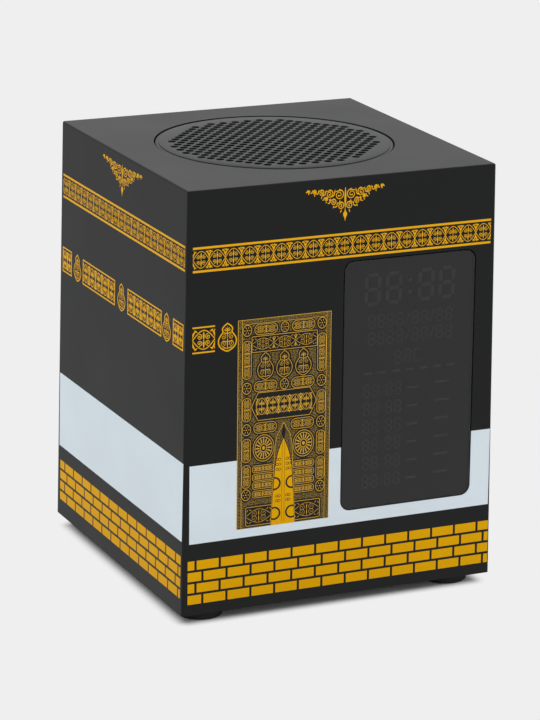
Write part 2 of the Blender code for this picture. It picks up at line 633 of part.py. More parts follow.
def build_display():
    """Lens, tape frame, diffuser, reflector block and LED board behind the front wall."""
    lens = rounded_rectangle(LENS_WIDTH, LENS_HEIGHT, LENS_RADIUS, LENS_CENTRE)
    solid("display_lens", prism(lens, -LENS_PROUD, LENS_BACK, "Y"), TINTED_ACRYLIC, front_face)

    tape = solid("lens_adhesive", prism(lens, ADHESIVE_FRONT, ADHESIVE_FRONT + ADHESIVE_THICKNESS, "Y"),
                 ADHESIVE, front_face)
    cut(tape, prism(rectangle(WINDOW_WIDTH, WINDOW_HEIGHT, LENS_CENTRE), 0, LENS_SEAT, "Y"), front_face)

    inner = rectangle(REFLECTOR_WIDTH, REFLECTOR_HEIGHT, LENS_CENTRE)
    solid("display_diffuser", prism(inner, DIFFUSER_FRONT, DIFFUSER_FRONT + DIFFUSER_THICKNESS, "Y"),
          MILKY_SHEET, front_face)
    block = solid("led_reflector", prism(inner, REFLECTOR_FRONT, REFLECTOR_BACK, "Y"), REFLECTOR_WHITE,
                  front_face)
    windows = []
    span = 3 * BIG_DIGIT_PITCH + COLON_WIDTH + BIG_DIGIT_WIDTH
    left = LENS_OFFSET - span / 2
    bottom = LENS_BOTTOM + LENS_HEIGHT - BIG_DIGIT_DROP - BIG_DIGIT_HEIGHT / 2
    for digit in range(4):
        start = left + digit * BIG_DIGIT_PITCH + (COLON_WIDTH if digit > 1 else 0)
        windows += seven_segments(start, bottom, BIG_DIGIT_WIDTH, BIG_DIGIT_HEIGHT)
    colon_middle = (left + BIG_DIGIT_PITCH + BIG_DIGIT_WIDTH + left + 2 * BIG_DIGIT_PITCH + COLON_WIDTH) / 2
    for level_share in (0.3, 0.7):
        windows.append(rectangle(COLON_DOT, COLON_DOT,
                                 (colon_middle, bottom + BIG_DIGIT_HEIGHT * level_share)))
    for row in range(SMALL_ROW_COUNT):
        level = LENS_BOTTOM + LENS_HEIGHT - SMALL_ROW_DROP - row * SMALL_ROW_PITCH
        middle = LENS_OFFSET - REFLECTOR_WIDTH / 2 + SMALL_ROW_INSET + SMALL_ROW_WIDTH / 2
        windows.append(rectangle(SMALL_ROW_WIDTH, SMALL_ROW_HEIGHT, (middle, level)))
    cells = [prism(outline, REFLECTOR_FRONT - CUT_OVERRUN, REFLECTOR_BACK + CUT_OVERRUN, "Y")
             for outline in windows]
    cut(block, gather(cells), front_face)

    board_outline = rectangle(DISPLAY_BOARD_WIDTH, WINDOW_HEIGHT, LENS_CENTRE)
    board = solid("display_board", prism(board_outline, DISPLAY_BOARD_FRONT, DISPLAY_BOARD_BACK, "Y"),
                  BOARD_GREEN, front_face)
    holes = [disc(SMALL_SCREW_DIAMETER + PILOT_CLEARANCE, REFLECTOR_BACK, DISPLAY_BOARD_BACK + CUT_OVERRUN,
                  "Y", centre, SCREW_SIDES) for centre in DISPLAY_POSTS]
    cut(board, gather(holes), front_face)
    for index, centre in enumerate(DISPLAY_POSTS):
        screw(f"display_screw_{index + 1}", SMALL_SCREW_DIAMETER, SMALL_SCREW_HEAD,
              SMALL_SCREW_HEAD_HEIGHT, SMALL_SCREW_LENGTH, "Y", centre, DISPLAY_BOARD_BACK, -1, front_face)


def grille_centres():
    """Staggered rows of holes inside a round field."""
    rows = int(GRILLE_FIELD_DIAMETER / 2 / GRILLE_ROW_PITCH)
    columns = int(GRILLE_FIELD_DIAMETER / 2 / GRILLE_PITCH) + 1
    limit = GRILLE_FIELD_DIAMETER / 2 - GRILLE_HOLE / 2
    centres = []
    for row in range(-rows, rows + 1):
        stagger = GRILLE_PITCH / 2 if row % 2 == 0 else 0
        for column in range(-columns, columns + 1):
            u = column * GRILLE_PITCH + stagger
            v = row * GRILLE_ROW_PITCH
            if math.hypot(u, v) <= limit:
                centres.append((u, v))
    return centres


def build_grille():
    """The perforated disc, flush with the top, and the cloth glued under it."""
    grille = solid("speaker_grille", disc(GRILLE_DIAMETER, CASE_TOP - GRILLE_THICKNESS, CASE_TOP, "Z",
                                          sides=2 * ROUND_SIDES), GRILLE_ABS)
    holes = [prism(regular_polygon(GRILLE_HOLE, HOLE_SIDES, centre),
                   CASE_TOP - GRILLE_THICKNESS - CUT_OVERRUN, CASE_TOP + CUT_OVERRUN, "Z")
             for centre in grille_centres()]
    cut(grille, gather(holes))
    cloth_top = CASE_TOP - GRILLE_THICKNESS - SEAT_GAP
    solid("grille_cloth",
          disc(SPEAKER_OPENING - 2 * SEAT_GAP, cloth_top - CLOTH_THICKNESS, cloth_top), CLOTH)


def build_speaker():
    """A full-range driver screwed under the top wall, firing up through the grille."""
    bore = SPEAKER_BORE / 2
    solid("speaker_gasket", ring(SPEAKER_OPENING, SPEAKER_OPENING + 2 * GASKET_WIDTH,
                                 GASKET_TOP - GASKET_THICKNESS, GASKET_TOP), FOAM)
    flange = rounded_rectangle(FLANGE_WIDTH, FLANGE_WIDTH, FLANGE_CORNER)
    basket = solid("speaker_basket", prism(flange, FLANGE_BOTTOM, FLANGE_TOP, "Z"), BASKET_STEEL)
    outer_top = bore + BASKET_WALL
    floor_radius = POLE_PLATE_DIAMETER / 2
    basket_floor = FLANGE_BOTTOM - BASKET_DEPTH
    dish = turned([(0, basket_floor), (floor_radius, basket_floor),
                   (outer_top, FLANGE_BOTTOM - BASKET_DEPTH / 3), (outer_top, FLANGE_TOP - WELD_DEPTH / 2),
                   (0, FLANGE_TOP - WELD_DEPTH / 2)])
    weld(basket, dish)
    hollow = turned([(0, basket_floor + BASKET_WALL),
                     (floor_radius - BASKET_WALL, basket_floor + BASKET_WALL),
                     (bore, FLANGE_BOTTOM - BASKET_DEPTH / 3), (bore, FLANGE_TOP + CUT_OVERRUN),
                     (0, FLANGE_TOP + CUT_OVERRUN)])
    cut(basket, hollow)
    slots = []
    window_low = basket_floor + 2 * BASKET_WALL
    window_high = FLANGE_BOTTOM - BASKET_WALL
    half_arm = BASKET_ARM_WIDTH / 2
    reach = outer_top + CUT_OVERRUN
    for side_u in (-1, 1):
        for side_v in (-1, 1):
            middle = (side_u * (reach + half_arm) / 2, side_v * (reach + half_arm) / 2)
            slots.append(prism(rectangle(reach - half_arm, reach - half_arm, middle), window_low,
                               window_high, "Z"))
    cut(basket, gather(slots))
    gap_diameter = COIL_DIAMETER + 2 * COIL_WALL + 2 * SEAT_GAP
    holes = [disc(gap_diameter, basket_floor - CUT_OVERRUN, basket_floor + BASKET_WALL + CUT_OVERRUN)]
    for centre in SPEAKER_HOLES:
        holes.append(disc(SMALL_SCREW_DIAMETER + PILOT_CLEARANCE, FLANGE_BOTTOM - CUT_OVERRUN,
                          FLANGE_TOP + CUT_OVERRUN, "Z", centre, SCREW_SIDES))
    cut(basket, gather(holes))
    for index, centre in enumerate(SPEAKER_HOLES):
        screw(f"speaker_screw_{index + 1}", SMALL_SCREW_DIAMETER, SMALL_SCREW_HEAD,
              SMALL_SCREW_HEAD_HEIGHT, SPEAKER_SCREW_LENGTH, "Z", centre, FLANGE_BOTTOM, 1)

    front_plate_top = basket_floor - SEAT_GAP
    front_plate_bottom = front_plate_top - POLE_PLATE_THICKNESS
    solid("magnet_front_plate", ring(gap_diameter, POLE_PLATE_DIAMETER, front_plate_bottom,
                                     front_plate_top), STEEL)
    magnet_top = front_plate_bottom - SEAT_GAP
    magnet_bottom = magnet_top - MAGNET_THICKNESS
    solid("speaker_magnet", ring(MAGNET_BORE, MAGNET_DIAMETER, magnet_bottom, magnet_top), FERRITE)
    yoke_top = magnet_bottom - SEAT_GAP
    yoke_bottom = yoke_top - POLE_PLATE_THICKNESS
    pole = POLE_DIAMETER / 2
    yoke = [(0, yoke_bottom), (POLE_PLATE_DIAMETER / 2, yoke_bottom), (POLE_PLATE_DIAMETER / 2, yoke_top),
            (pole, yoke_top), (pole, front_plate_top), (0, front_plate_top)]
    solid("magnet_yoke", turned(yoke), STEEL)

    rim = bore - SEAT_GAP
    roll_inner = rim - SURROUND_WIDTH
    lip = FLANGE_TOP - SURROUND_THICKNESS
    upper = []
    lower = []
    for step in range(ROLL_STEPS + 1):
        share = step / ROLL_STEPS
        radius = rim + (roll_inner - rim) * share
        rise = SURROUND_ROLL * math.sin(math.pi * share)
        upper.append((radius, lip + SURROUND_THICKNESS + rise))
        lower.append((radius, lip + rise))
    solid("speaker_surround", turned(upper + lower[::-1]), RUBBER)

    cone_rim = roll_inner - SEAT_GAP
    neck = COIL_DIAMETER / 2 + COIL_WALL + SEAT_GAP
    cone_top = lip + CONE_THICKNESS
    cone_low = cone_top - CONE_DEPTH
    cone = [(neck, cone_low), (cone_rim, lip), (cone_rim, cone_top), (neck, cone_low + CONE_THICKNESS)]
    shifted = [(radius, depth - cone_top) for radius, depth in cone]
    solid("speaker_cone", turned(shifted), PAPER_CONE, None, (0, 0, cone_top))
    coil_top = cone_low + CONE_THICKNESS
    coil = ring(COIL_DIAMETER, COIL_DIAMETER + 2 * COIL_WALL, -COIL_HEIGHT, 0, sides=SMALL_SIDES)
    solid("voice_coil", coil, COPPER, None, (0, 0, coil_top))
    cap_base = coil_top + SEAT_GAP
    cap_radius = neck + CONE_THICKNESS
    cap_lift = (cap_radius - neck) * CONE_DEPTH / (cone_rim - neck)
    cap = [(cap_radius, cap_lift)]
    for step in range(1, ROLL_STEPS):
        angle = math.radians(90) * step / ROLL_STEPS
        cap.append((cap_radius * math.cos(angle), cap_lift + DUST_CAP_RISE * math.sin(angle)))
    cap.append((0, cap_lift + DUST_CAP_RISE))
    solid("speaker_dust_cap", turned(cap_profile(cap)), PAPER_CONE, None, (0, 0, cap_base))


def cap_profile(outer):
    """A thin dome of even thickness under an outer profile that ends on the axis."""
    inner = []
    for radius, depth in outer:
        inner.append((max(radius - CONE_THICKNESS, 0), depth - (CONE_THICKNESS if radius == 0 else 0)))
    return outer[::-1] + inner


def build_base():
    """Bottom plate, rubber feet, screws, battery and its cradle."""
    plate = solid("bottom_plate", prism(rounded_rectangle(PLATE_WIDTH, PLATE_WIDTH, CASE_EDGE_RADIUS),
                                        PLATE_BOTTOM, PLATE_TOP, "Z"), BLACK_ABS)
    holes = []
    counterbore = counterbore_depth()
    for centre in CASE_POSTS:
        profile = [(0, PLATE_BOTTOM - CUT_OVERRUN), (SCREW_HEAD / 2 + SEAT_GAP, PLATE_BOTTOM - CUT_OVERRUN),
                   (SCREW_HEAD / 2 + SEAT_GAP, counterbore), (SCREW_DIAMETER / 2 + SEAT_GAP, counterbore),
                   (SCREW_DIAMETER / 2 + SEAT_GAP, PLATE_TOP + CUT_OVERRUN), (0, PLATE_TOP + CUT_OVERRUN)]
        holes.append(turned(profile, "Z", centre, SCREW_SIDES))
    feet = {"front_left": (-1, -1), "front_right": (1, -1), "rear_left": (-1, 1), "rear_right": (1, 1)}
    for u, v in feet.values():
        holes.append(disc(FOOT_DIAMETER + 2 * SEAT_GAP, PLATE_BOTTOM - CUT_OVERRUN,
                          PLATE_BOTTOM + FOOT_SEAT_DEPTH, "Z", (u * FOOT_PLACE, v * FOOT_PLACE),
                          SMALL_SIDES))
    cut(plate, gather(holes))
    for index, centre in enumerate(CASE_POSTS):
        screw(f"bottom_screw_{index + 1}", SCREW_DIAMETER, SCREW_HEAD, SCREW_HEAD_HEIGHT, SCREW_LENGTH, "Z",
              centre, counterbore, 1)
    foot_top = PLATE_BOTTOM + FOOT_SEAT_DEPTH - SEAT_GAP
    flat = FOOT_FLAT_DIAMETER / 2
    bulge = FOOT_DIAMETER / 2 - flat
    profile = [(0, 0)]
    for step in range(CORNER_STEPS + 1):
        angle = math.radians(90) * step / CORNER_STEPS
        profile.append((flat + bulge * math.sin(angle), FOOT_STANDOFF * (1 - math.cos(angle))))
    profile += [(FOOT_DIAMETER / 2, foot_top), (0, foot_top)]
    for name, (u, v) in feet.items():
        solid(f"foot_{name}", turned(profile, "Z", sides=SMALL_SIDES), RUBBER, None,
              (u * FOOT_PLACE, v * FOOT_PLACE, 0))

    cradle_low = PLATE_TOP + SEAT_GAP
    axis_height = cradle_low + HOLDER_WALL + SEAT_GAP + BATTERY_DIAMETER / 2
    inner_width = BATTERY_DIAMETER + 2 * SEAT_GAP
    inner_length = BATTERY_LENGTH + BATTERY_TIP_LENGTH + 2 * SEAT_GAP
    cradle = solid("battery_holder", prism(rectangle(inner_length + 2 * HOLDER_WALL,
                                                     inner_width + 2 * HOLDER_WALL), cradle_low,
                                           axis_height, "Z"), SWITCH_BLACK)
    cut(cradle, prism(rectangle(inner_length, inner_width), cradle_low + HOLDER_WALL,
                      axis_height + CUT_OVERRUN, "Z"))
    cell_start = -(BATTERY_LENGTH + BATTERY_TIP_LENGTH) / 2
    cell_end = cell_start + BATTERY_LENGTH
    tip_end = cell_end + BATTERY_TIP_LENGTH
    cell = [(0, cell_start), (BATTERY_DIAMETER / 2, cell_start), (BATTERY_DIAMETER / 2, cell_end),
            (BATTERY_TIP_DIAMETER / 2, cell_end), (BATTERY_TIP_DIAMETER / 2, tip_end), (0, tip_end)]
    solid("battery_cell", turned(cell, "X", (0, axis_height), SMALL_SIDES), CELL_WRAP)


def build_controls():
    """Back panel with five sprung keys, the power slide and the charging socket."""
    panel = solid("rear_panel", prism(rounded_rectangle(PANEL_WIDTH, PANEL_HEIGHT, PANEL_RADIUS,
                                                        (0, PANEL_CENTRE_Z)), PANEL_RECESS, PANEL_BACK, "Y"),
                  KEY_PLASTIC, back_face)
    low = PANEL_RECESS - CUT_OVERRUN
    high = PANEL_BACK + CUT_OVERRUN
    holes = [disc(KEY_DIAMETER + 2 * SLIDE_GAP, low, high, "Y", (place_x, KEY_ROW_Z), SMALL_SIDES)
             for place_x in KEY_PLACES]
    slot_width = SWITCH_KNOB_WIDTH + SWITCH_TRAVEL + 2 * SEAT_GAP
    holes.append(prism(rectangle(slot_width, SWITCH_KNOB_HEIGHT + 2 * SEAT_GAP, (SWITCH_X, LOWER_ROW_Z)),
                       low, high, "Y"))
    mouth_width = SOCKET_WIDTH + 2 * SEAT_GAP
    mouth_height = SOCKET_HEIGHT + 2 * SEAT_GAP
    stadium_share = 0.499
    holes.append(prism(rounded_rectangle(mouth_width, mouth_height, mouth_height * stadium_share,
                                         (SOCKET_X, LOWER_ROW_Z)), low, high, "Y"))
    head_seat = PANEL_RECESS + SMALL_SCREW_HEAD_HEIGHT + SEAT_GAP
    head_radius = SMALL_SCREW_HEAD / 2 + SEAT_GAP
    shank_radius = SMALL_SCREW_DIAMETER / 2 + SEAT_GAP
    stepped = [(0, low), (head_radius, low), (head_radius, head_seat), (shank_radius, head_seat),
               (shank_radius, high), (0, high)]
    for side in (-1, 1):
        holes.append(turned(stepped, "Y", (side * PANEL_SCREW_X, PANEL_CENTRE_Z), SCREW_SIDES))
    cut(panel, gather(holes), back_face)
    for index, side in enumerate((-1, 1)):
        screw(f"rear_panel_screw_{index + 1}", SMALL_SCREW_DIAMETER, SMALL_SCREW_HEAD,
              SMALL_SCREW_HEAD_HEIGHT, SMALL_SCREW_LENGTH, "Y", (side * PANEL_SCREW_X, PANEL_CENTRE_Z),
              head_seat, 1, back_face)

    key_front = PANEL_RECESS - KEY_PROUD
    for name, place_x in zip(KEY_NAMES, KEY_PLACES):
        profile = [(0, 0), (KEY_DIAMETER / 2, 0),
                   (KEY_DIAMETER / 2, KEY_FLANGE_FRONT - key_front),
                   (KEY_FLANGE_DIAMETER / 2, KEY_FLANGE_FRONT - key_front),
                   (KEY_FLANGE_DIAMETER / 2, KEY_FLANGE_BACK - key_front),
                   (KEY_STEM_DIAMETER / 2, KEY_FLANGE_BACK - key_front),
                   (KEY_STEM_DIAMETER / 2, KEY_STEM_END - key_front), (0, KEY_STEM_END - key_front)]
        solid(f"key_{name}", turned(profile, "Y", sides=SMALL_SIDES), KEY_PLASTIC, back_face,
              (place_x, key_front, KEY_ROW_Z))
        body = solid(f"key_switch_{name}", prism(rectangle(KEY_SWITCH_WIDTH, KEY_SWITCH_WIDTH,
                                                           (place_x, KEY_ROW_Z)), KEY_SWITCH_FRONT,
                                                 PART_BACK, "Y"), SWITCH_BLACK, back_face)
        weld(body, disc(KEY_PLUNGER_DIAMETER, PLUNGER_FRONT, KEY_SWITCH_FRONT + WELD_DEPTH, "Y",
                        (place_x, KEY_ROW_Z), SCREW_SIDES), back_face)

    body = solid("power_switch_body", prism(rectangle(SWITCH_BODY_WIDTH, SWITCH_BODY_HEIGHT,
                                                      (SWITCH_X, LOWER_ROW_Z)), SWITCH_BODY_FRONT,
                                            PART_BACK, "Y"), NICKEL, back_face)
    cut(body, prism(rectangle(slot_width, SWITCH_KNOB_HEIGHT + 2 * SEAT_GAP, (SWITCH_X, LOWER_ROW_Z)),
                    SWITCH_BODY_FRONT - CUT_OVERRUN, SWITCH_BODY_FRONT + SWITCH_ENGAGEMENT + SEAT_GAP, "Y"),
        back_face)
    knob_x = SWITCH_X - SWITCH_TRAVEL / 2
    knob = solid("power_switch_knob", prism(rectangle(SWITCH_KNOB_WIDTH, SWITCH_KNOB_HEIGHT),
                                            0, SWITCH_BODY_FRONT + SWITCH_ENGAGEMENT, "Y"),
                 SWITCH_BLACK, back_face, (knob_x, 0, LOWER_ROW_Z))
    shoe_front = PANEL_BACK + SEAT_GAP
    shoe_size = (SWITCH_KNOB_WIDTH + 2 * SWITCH_SHOE_REACH, SWITCH_KNOB_HEIGHT + 2 * SWITCH_SHOE_REACH)
    weld(knob, prism(rectangle(*shoe_size), shoe_front, shoe_front + SWITCH_SHOE_DEPTH, "Y"),
         back_face, (knob_x, 0, LOWER_ROW_Z))

    socket = solid("charging_socket", prism(rounded_rectangle(SOCKET_WIDTH, SOCKET_HEIGHT,
                                                              SOCKET_HEIGHT * stadium_share,
                                                              (SOCKET_X, LOWER_ROW_Z)), PANEL_RECESS,
                                            PART_BACK, "Y"), NICKEL, back_face)
    bore_height = SOCKET_HEIGHT - 2 * SOCKET_WALL
    cut(socket, prism(rounded_rectangle(SOCKET_WIDTH - 2 * SOCKET_WALL, bore_height,
                                        bore_height * stadium_share, (SOCKET_X, LOWER_ROW_Z)),
                      PANEL_RECESS - CUT_OVERRUN, PANEL_RECESS + SOCKET_MOUTH_DEPTH, "Y"), back_face)
    weld(socket, prism(rectangle(SOCKET_TONGUE_WIDTH, SOCKET_TONGUE_THICKNESS, (SOCKET_X, LOWER_ROW_Z)),
                       PANEL_RECESS + SOCKET_TONGUE_RECESS, PANEL_RECESS + SOCKET_MOUTH_DEPTH + WELD_DEPTH,
                       "Y"), back_face)

    board = solid("main_board", prism(rectangle(MAIN_BOARD_WIDTH, MAIN_BOARD_HEIGHT, (0, MAIN_BOARD_Z)),
                                      MAIN_BOARD_FRONT, MAIN_BOARD_BACK, "Y"), BOARD_GREEN, back_face)
    holes = [disc(SMALL_SCREW_DIAMETER + PILOT_CLEARANCE, MAIN_BOARD_FRONT - CUT_OVERRUN,
                  MAIN_BOARD_BACK + CUT_OVERRUN, "Y", centre, SCREW_SIDES) for centre in BOARD_POSTS]
    cut(board, gather(holes), back_face)
    for index, centre in enumerate((BOARD_POSTS[0], BOARD_POSTS[-1])):
        screw(f"board_screw_{index + 1}", SMALL_SCREW_DIAMETER, SMALL_SCREW_HEAD, SMALL_SCREW_HEAD_HEIGHT,
              SMALL_SCREW_LENGTH, "Y", centre, MAIN_BOARD_BACK, -1, back_face)
    chip_front = MAIN_BOARD_BACK + SEAT_GAP
    solid("sound_chip", prism(rectangle(CHIP_WIDTH, CHIP_WIDTH, (0, MAIN_BOARD_Z)), chip_front,
                              chip_front + CHIP_THICKNESS, "Y"), SWITCH_BLACK, back_face)


def build_wires():
    """Speaker lead, battery lead and the display's ribbon, all ending at the main board."""
    board_end = MAIN_BOARD_BACK + SEAT_GAP
    basket_side = SPEAKER_BORE / 2 + BASKET_WALL + SEAT_GAP
    start = (0, basket_side, FLANGE_BOTTOM - BASKET_DEPTH / 6)
    end = back_point(-SPEAKER_LEAD_SHIFT, board_end, MAIN_BOARD_Z + SPEAKER_LEAD_RISE)
    wire("speaker_lead", start, end)
    cradle_side = BATTERY_DIAMETER / 2 + SEAT_GAP + HOLDER_WALL + SEAT_GAP
    cradle_middle = PLATE_TOP + SEAT_GAP + (HOLDER_WALL + SEAT_GAP + BATTERY_DIAMETER / 2) / 2
    start = (BATTERY_LEAD_SHIFT, cradle_side, cradle_middle)
    end = back_point(-BATTERY_LEAD_SHIFT, board_end, MAIN_BOARD_Z - BATTERY_LEAD_DROP)
    wire("battery_lead", start, end)

    ribbon_x = LENS_OFFSET - DISPLAY_BOARD_WIDTH / 4
    start = front_point(ribbon_x, DISPLAY_BOARD_BACK + SEAT_GAP, MAIN_BOARD_Z + RIBBON_RISE)
    end = back_point(-ribbon_x, board_end, MAIN_BOARD_Z + RIBBON_RISE)
    reach = (end[1] - start[1]) / 3
    route = bend(start, (ribbon_x, start[1] + reach, start[2] - RIBBON_SAG),
                 (ribbon_x, end[1] - reach, end[2] - RIBBON_SAG), end, RIBBON_STEPS)
    upper = [(y, z + RIBBON_THICKNESS / 2) for x, y, z in route]
    lower = [(y, z - RIBBON_THICKNESS / 2) for x, y, z in route]
    solid("display_ribbon", prism(upper + lower[::-1], ribbon_x - RIBBON_WIDTH / 2,
                                  ribbon_x + RIBBON_WIDTH / 2, "X"), RIBBON_GREY)


def wire(name, start, end):
    """A round wire that leaves one piece and meets the next square to both, along Y."""
    length = math.dist(start, end)
    steps = max(int(length / (WIRE_DIAMETER * WIRE_STEP_DIAMETERS)), 2)
    points = bend(start, (start[0], start[1] + WIRE_PULL, start[2]), (end[0], end[1] - WIRE_PULL, end[2]),
                  end, steps)
    tube(name, points, WIRE_DIAMETER, WIRE_RED)


build_case()
build_display()
build_grille()
build_speaker()
build_base()
build_controls()
build_wires()
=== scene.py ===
"""Looks of the azan clock lamp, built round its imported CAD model.

Metres, +Z up, the display faces -Y. Sizes given in millimetres say so in their names.
"""
import math

import bmesh
import bpy
import numpy as np
from mathutils import Matrix, Vector
from mathutils.geometry import delaunay_2d_cdt


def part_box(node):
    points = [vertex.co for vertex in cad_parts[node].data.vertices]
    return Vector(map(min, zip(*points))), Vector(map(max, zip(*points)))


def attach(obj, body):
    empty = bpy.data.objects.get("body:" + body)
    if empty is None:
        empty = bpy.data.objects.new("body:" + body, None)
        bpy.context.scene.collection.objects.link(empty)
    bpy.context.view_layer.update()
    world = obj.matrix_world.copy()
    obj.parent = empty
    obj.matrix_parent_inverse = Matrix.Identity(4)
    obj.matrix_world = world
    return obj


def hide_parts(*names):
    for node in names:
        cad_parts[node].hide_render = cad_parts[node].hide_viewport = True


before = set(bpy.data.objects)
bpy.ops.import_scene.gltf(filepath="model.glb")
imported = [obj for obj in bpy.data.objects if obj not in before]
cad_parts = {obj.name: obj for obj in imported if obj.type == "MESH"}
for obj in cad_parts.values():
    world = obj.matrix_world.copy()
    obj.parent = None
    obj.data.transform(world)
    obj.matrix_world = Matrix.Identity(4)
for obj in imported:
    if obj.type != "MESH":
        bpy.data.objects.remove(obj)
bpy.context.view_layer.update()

# Room: a seamless sheet of white paper in an even white studio, with one broad soft lamp
# overhead and behind and a weaker one in front. A long lens looks down on the lamp from a
# little over a metre away, so that its upright edges stay nearly parallel.
case_low, case_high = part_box("outer_shell")
image_height_px = 720
paper_shade = "#efefef"


def linear(shade):
    """A written sRGB colour as the linear RGBA that a shader socket takes."""
    channels = [int(shade[start:start + 2], 16) / 255 for start in (1, 3, 5)]
    lit = [c / 12.92 if c <= 0.04045 else ((c + 0.055) / 1.055) ** 2.4 for c in channels]
    return (*lit, 1.0)


def add_node(tree, kind, settings=None, inputs=None):
    """One shader node: its settings, then its inputs as plain values or as other nodes' outputs."""
    node = tree.nodes.new(kind)
    for name, value in (settings or {}).items():
        setattr(node, name, value)
    for name, value in (inputs or {}).items():
        if isinstance(value, bpy.types.NodeSocket):
            tree.links.new(value, node.inputs[name])
        else:
            node.inputs[name].default_value = value
    return node


def place_camera():
    """The camera that the picture's corners of the case give, at a distance in widths of its top."""
    sensor_width_mm = 36
    top_width = 0.1107054
    focal_px = 3340.247
    azimuth, elevation, roll = -0.431882, 0.288503, -0.0163823
    distance, shift_right, shift_up = 10.37623, 0.0030956, 0.0471594
    back = Vector((math.sin(azimuth) * math.cos(elevation), -math.cos(azimuth) * math.cos(elevation),
                   math.sin(elevation)))
    right = Vector((math.cos(azimuth), math.sin(azimuth), 0))
    up = back.cross(right)
    right, up = (right * math.cos(roll) - up * math.sin(roll),
                 right * math.sin(roll) + up * math.cos(roll))
    aim = Vector((0, 0, (case_low.z + case_high.z) / 2))
    camera = bpy.data.objects.new("camera", bpy.data.cameras.new("camera"))
    camera.data.sensor_width = sensor_width_mm
    camera.data.lens = focal_px / image_height_px * camera.data.sensor_width
    camera.matrix_world = Matrix.Translation(
        aim + top_width * (distance * back - shift_right * right - shift_up * up)
    ) @ Matrix((right, up, back)).transposed().to_4x4()
    bpy.context.scene.collection.objects.link(camera)
    bpy.context.scene.camera = camera


place_camera()

scene = bpy.context.scene
scene.view_settings.view_transform = "Standard"
world = bpy.data.worlds.new("white_studio")
world.use_nodes = True
scene.world = world
world.node_tree.nodes.clear()
studio_shade, studio_strength = "#f4f4f4", 0.74
studio_light = add_node(world.node_tree, "ShaderNodeBackground",
                        inputs={"Color": linear(studio_shade), "Strength": studio_strength})
backdrop = add_node(world.node_tree, "ShaderNodeBackground",
                    inputs={"Color": linear(paper_shade), "Strength": 1.0})
eye_ray = add_node(world.node_tree, "ShaderNodeLightPath")
room = add_node(world.node_tree, "ShaderNodeMixShader", inputs={
    0: eye_ray.outputs["Is Camera Ray"], 1: studio_light.outputs[0], 2: backdrop.outputs[0]})
add_node(world.node_tree, "ShaderNodeOutputWorld", inputs={"Surface": room.outputs[0]})

# Each lamp's direction from the case, its strength, and the degrees that it is spread over.
lamps = {"overhead_soft_lamp": ((0.35, 1.0, 1.2), 1.0, 80),
         "front_soft_lamp": ((-0.1, -1.0, 1.3), 0.3, 90)}
for lamp_name, (lamp_from, lamp_strength, lamp_spread) in lamps.items():
    lamp = bpy.data.objects.new(lamp_name, bpy.data.lights.new(lamp_name, "SUN"))
    lamp.data.energy = lamp_strength
    lamp.data.angle = math.radians(lamp_spread)
    lamp.rotation_euler = Vector(lamp_from).to_track_quat("Z", "Y").to_euler()
    scene.collection.objects.link(lamp)

# The shadow ends softly at the edge of the footprint: it starts to fade this far inside the
# case's foot, across and in depth, and is gone after this width more.
floor_reach = 6.0
shadow_inset, shadow_fade = (0.0046, 0.0059, 1), (0.0066, 0.0066, 1)
corner_signs = ((-1, -1), (1, -1), (1, 1), (-1, 1))
floor_mesh = bpy.data.meshes.new("paper_sweep")
floor_mesh.from_pydata([(u * floor_reach, v * floor_reach, 0) for u, v in corner_signs], [],
                       [(0, 1, 2, 3)])
floor = bpy.data.objects.new("paper_sweep", floor_mesh)
scene.collection.objects.link(floor)


def sweep_paper(shade, lit_shade):
    """White paper: matt and evenly bright to the eye, but for the shadow close round the case."""
    surface = bpy.data.materials.new("white_sweep_paper")
    surface.use_nodes = True
    tree = surface.node_tree
    tree.nodes.clear()
    even = add_node(tree, "ShaderNodeEmission", inputs={"Color": linear(shade), "Strength": 1.0})
    place = add_node(tree, "ShaderNodeNewGeometry")
    spread = add_node(tree, "ShaderNodeVectorMath", {"operation": "ABSOLUTE"},
                      {0: place.outputs["Position"]})
    beyond = add_node(tree, "ShaderNodeVectorMath", {"operation": "SUBTRACT"}, {
        0: spread.outputs[0], 1: (case_high.x - shadow_inset[0], case_high.y - shadow_inset[1], 0)})
    outside = add_node(tree, "ShaderNodeVectorMath", {"operation": "MAXIMUM"}, {0: beyond.outputs[0]})
    faded = add_node(tree, "ShaderNodeVectorMath", {"operation": "DIVIDE"},
                     {0: outside.outputs[0], 1: shadow_fade})
    away = add_node(tree, "ShaderNodeVectorMath", {"operation": "LENGTH"}, {0: faded.outputs[0]})
    clear = add_node(tree, "ShaderNodeMapRange", {"interpolation_type": "SMOOTHSTEP"},
                     {"Value": away.outputs["Value"]})
    lit = add_node(tree, "ShaderNodeBsdfDiffuse", inputs={"Color": linear(lit_shade)})
    ray = add_node(tree, "ShaderNodeLightPath")
    seen = ray.outputs["Is Camera Ray"]
    for kind in ("Is Glossy Ray", "Is Transmission Ray"):
        either = add_node(tree, "ShaderNodeMath", {"operation": "MAXIMUM"}, {0: seen, 1: ray.outputs[kind]})
        seen = either.outputs[0]
    amount = add_node(tree, "ShaderNodeMath", {"operation": "MULTIPLY"}, {0: clear.outputs[0], 1: seen})
    mixed = add_node(tree, "ShaderNodeMixShader", inputs={
        0: amount.outputs[0], 1: lit.outputs[0], 2: even.outputs[0]})
    add_node(tree, "ShaderNodeOutputMaterial", inputs={"Surface": mixed.outputs[0]})
    return surface


floor_mesh.materials.append(sweep_paper(paper_shade, "#f3f3f3"))

# Case: one injection-moulded shell of black ABS, open underneath, its four walls leaning in
# by the mould's draft. A fine spark-eroded texture in the mould leaves it matt, so it is
# nearly black face on and turns grey where it is seen at a slant.
case_lean = math.radians(0.66)
case_wall = 0.003
case_roof = 0.0032
case_corner = 0.0008
case_edge = 0.0006
seat_gap = 0.0003
base_width = case_high.x - case_low.x


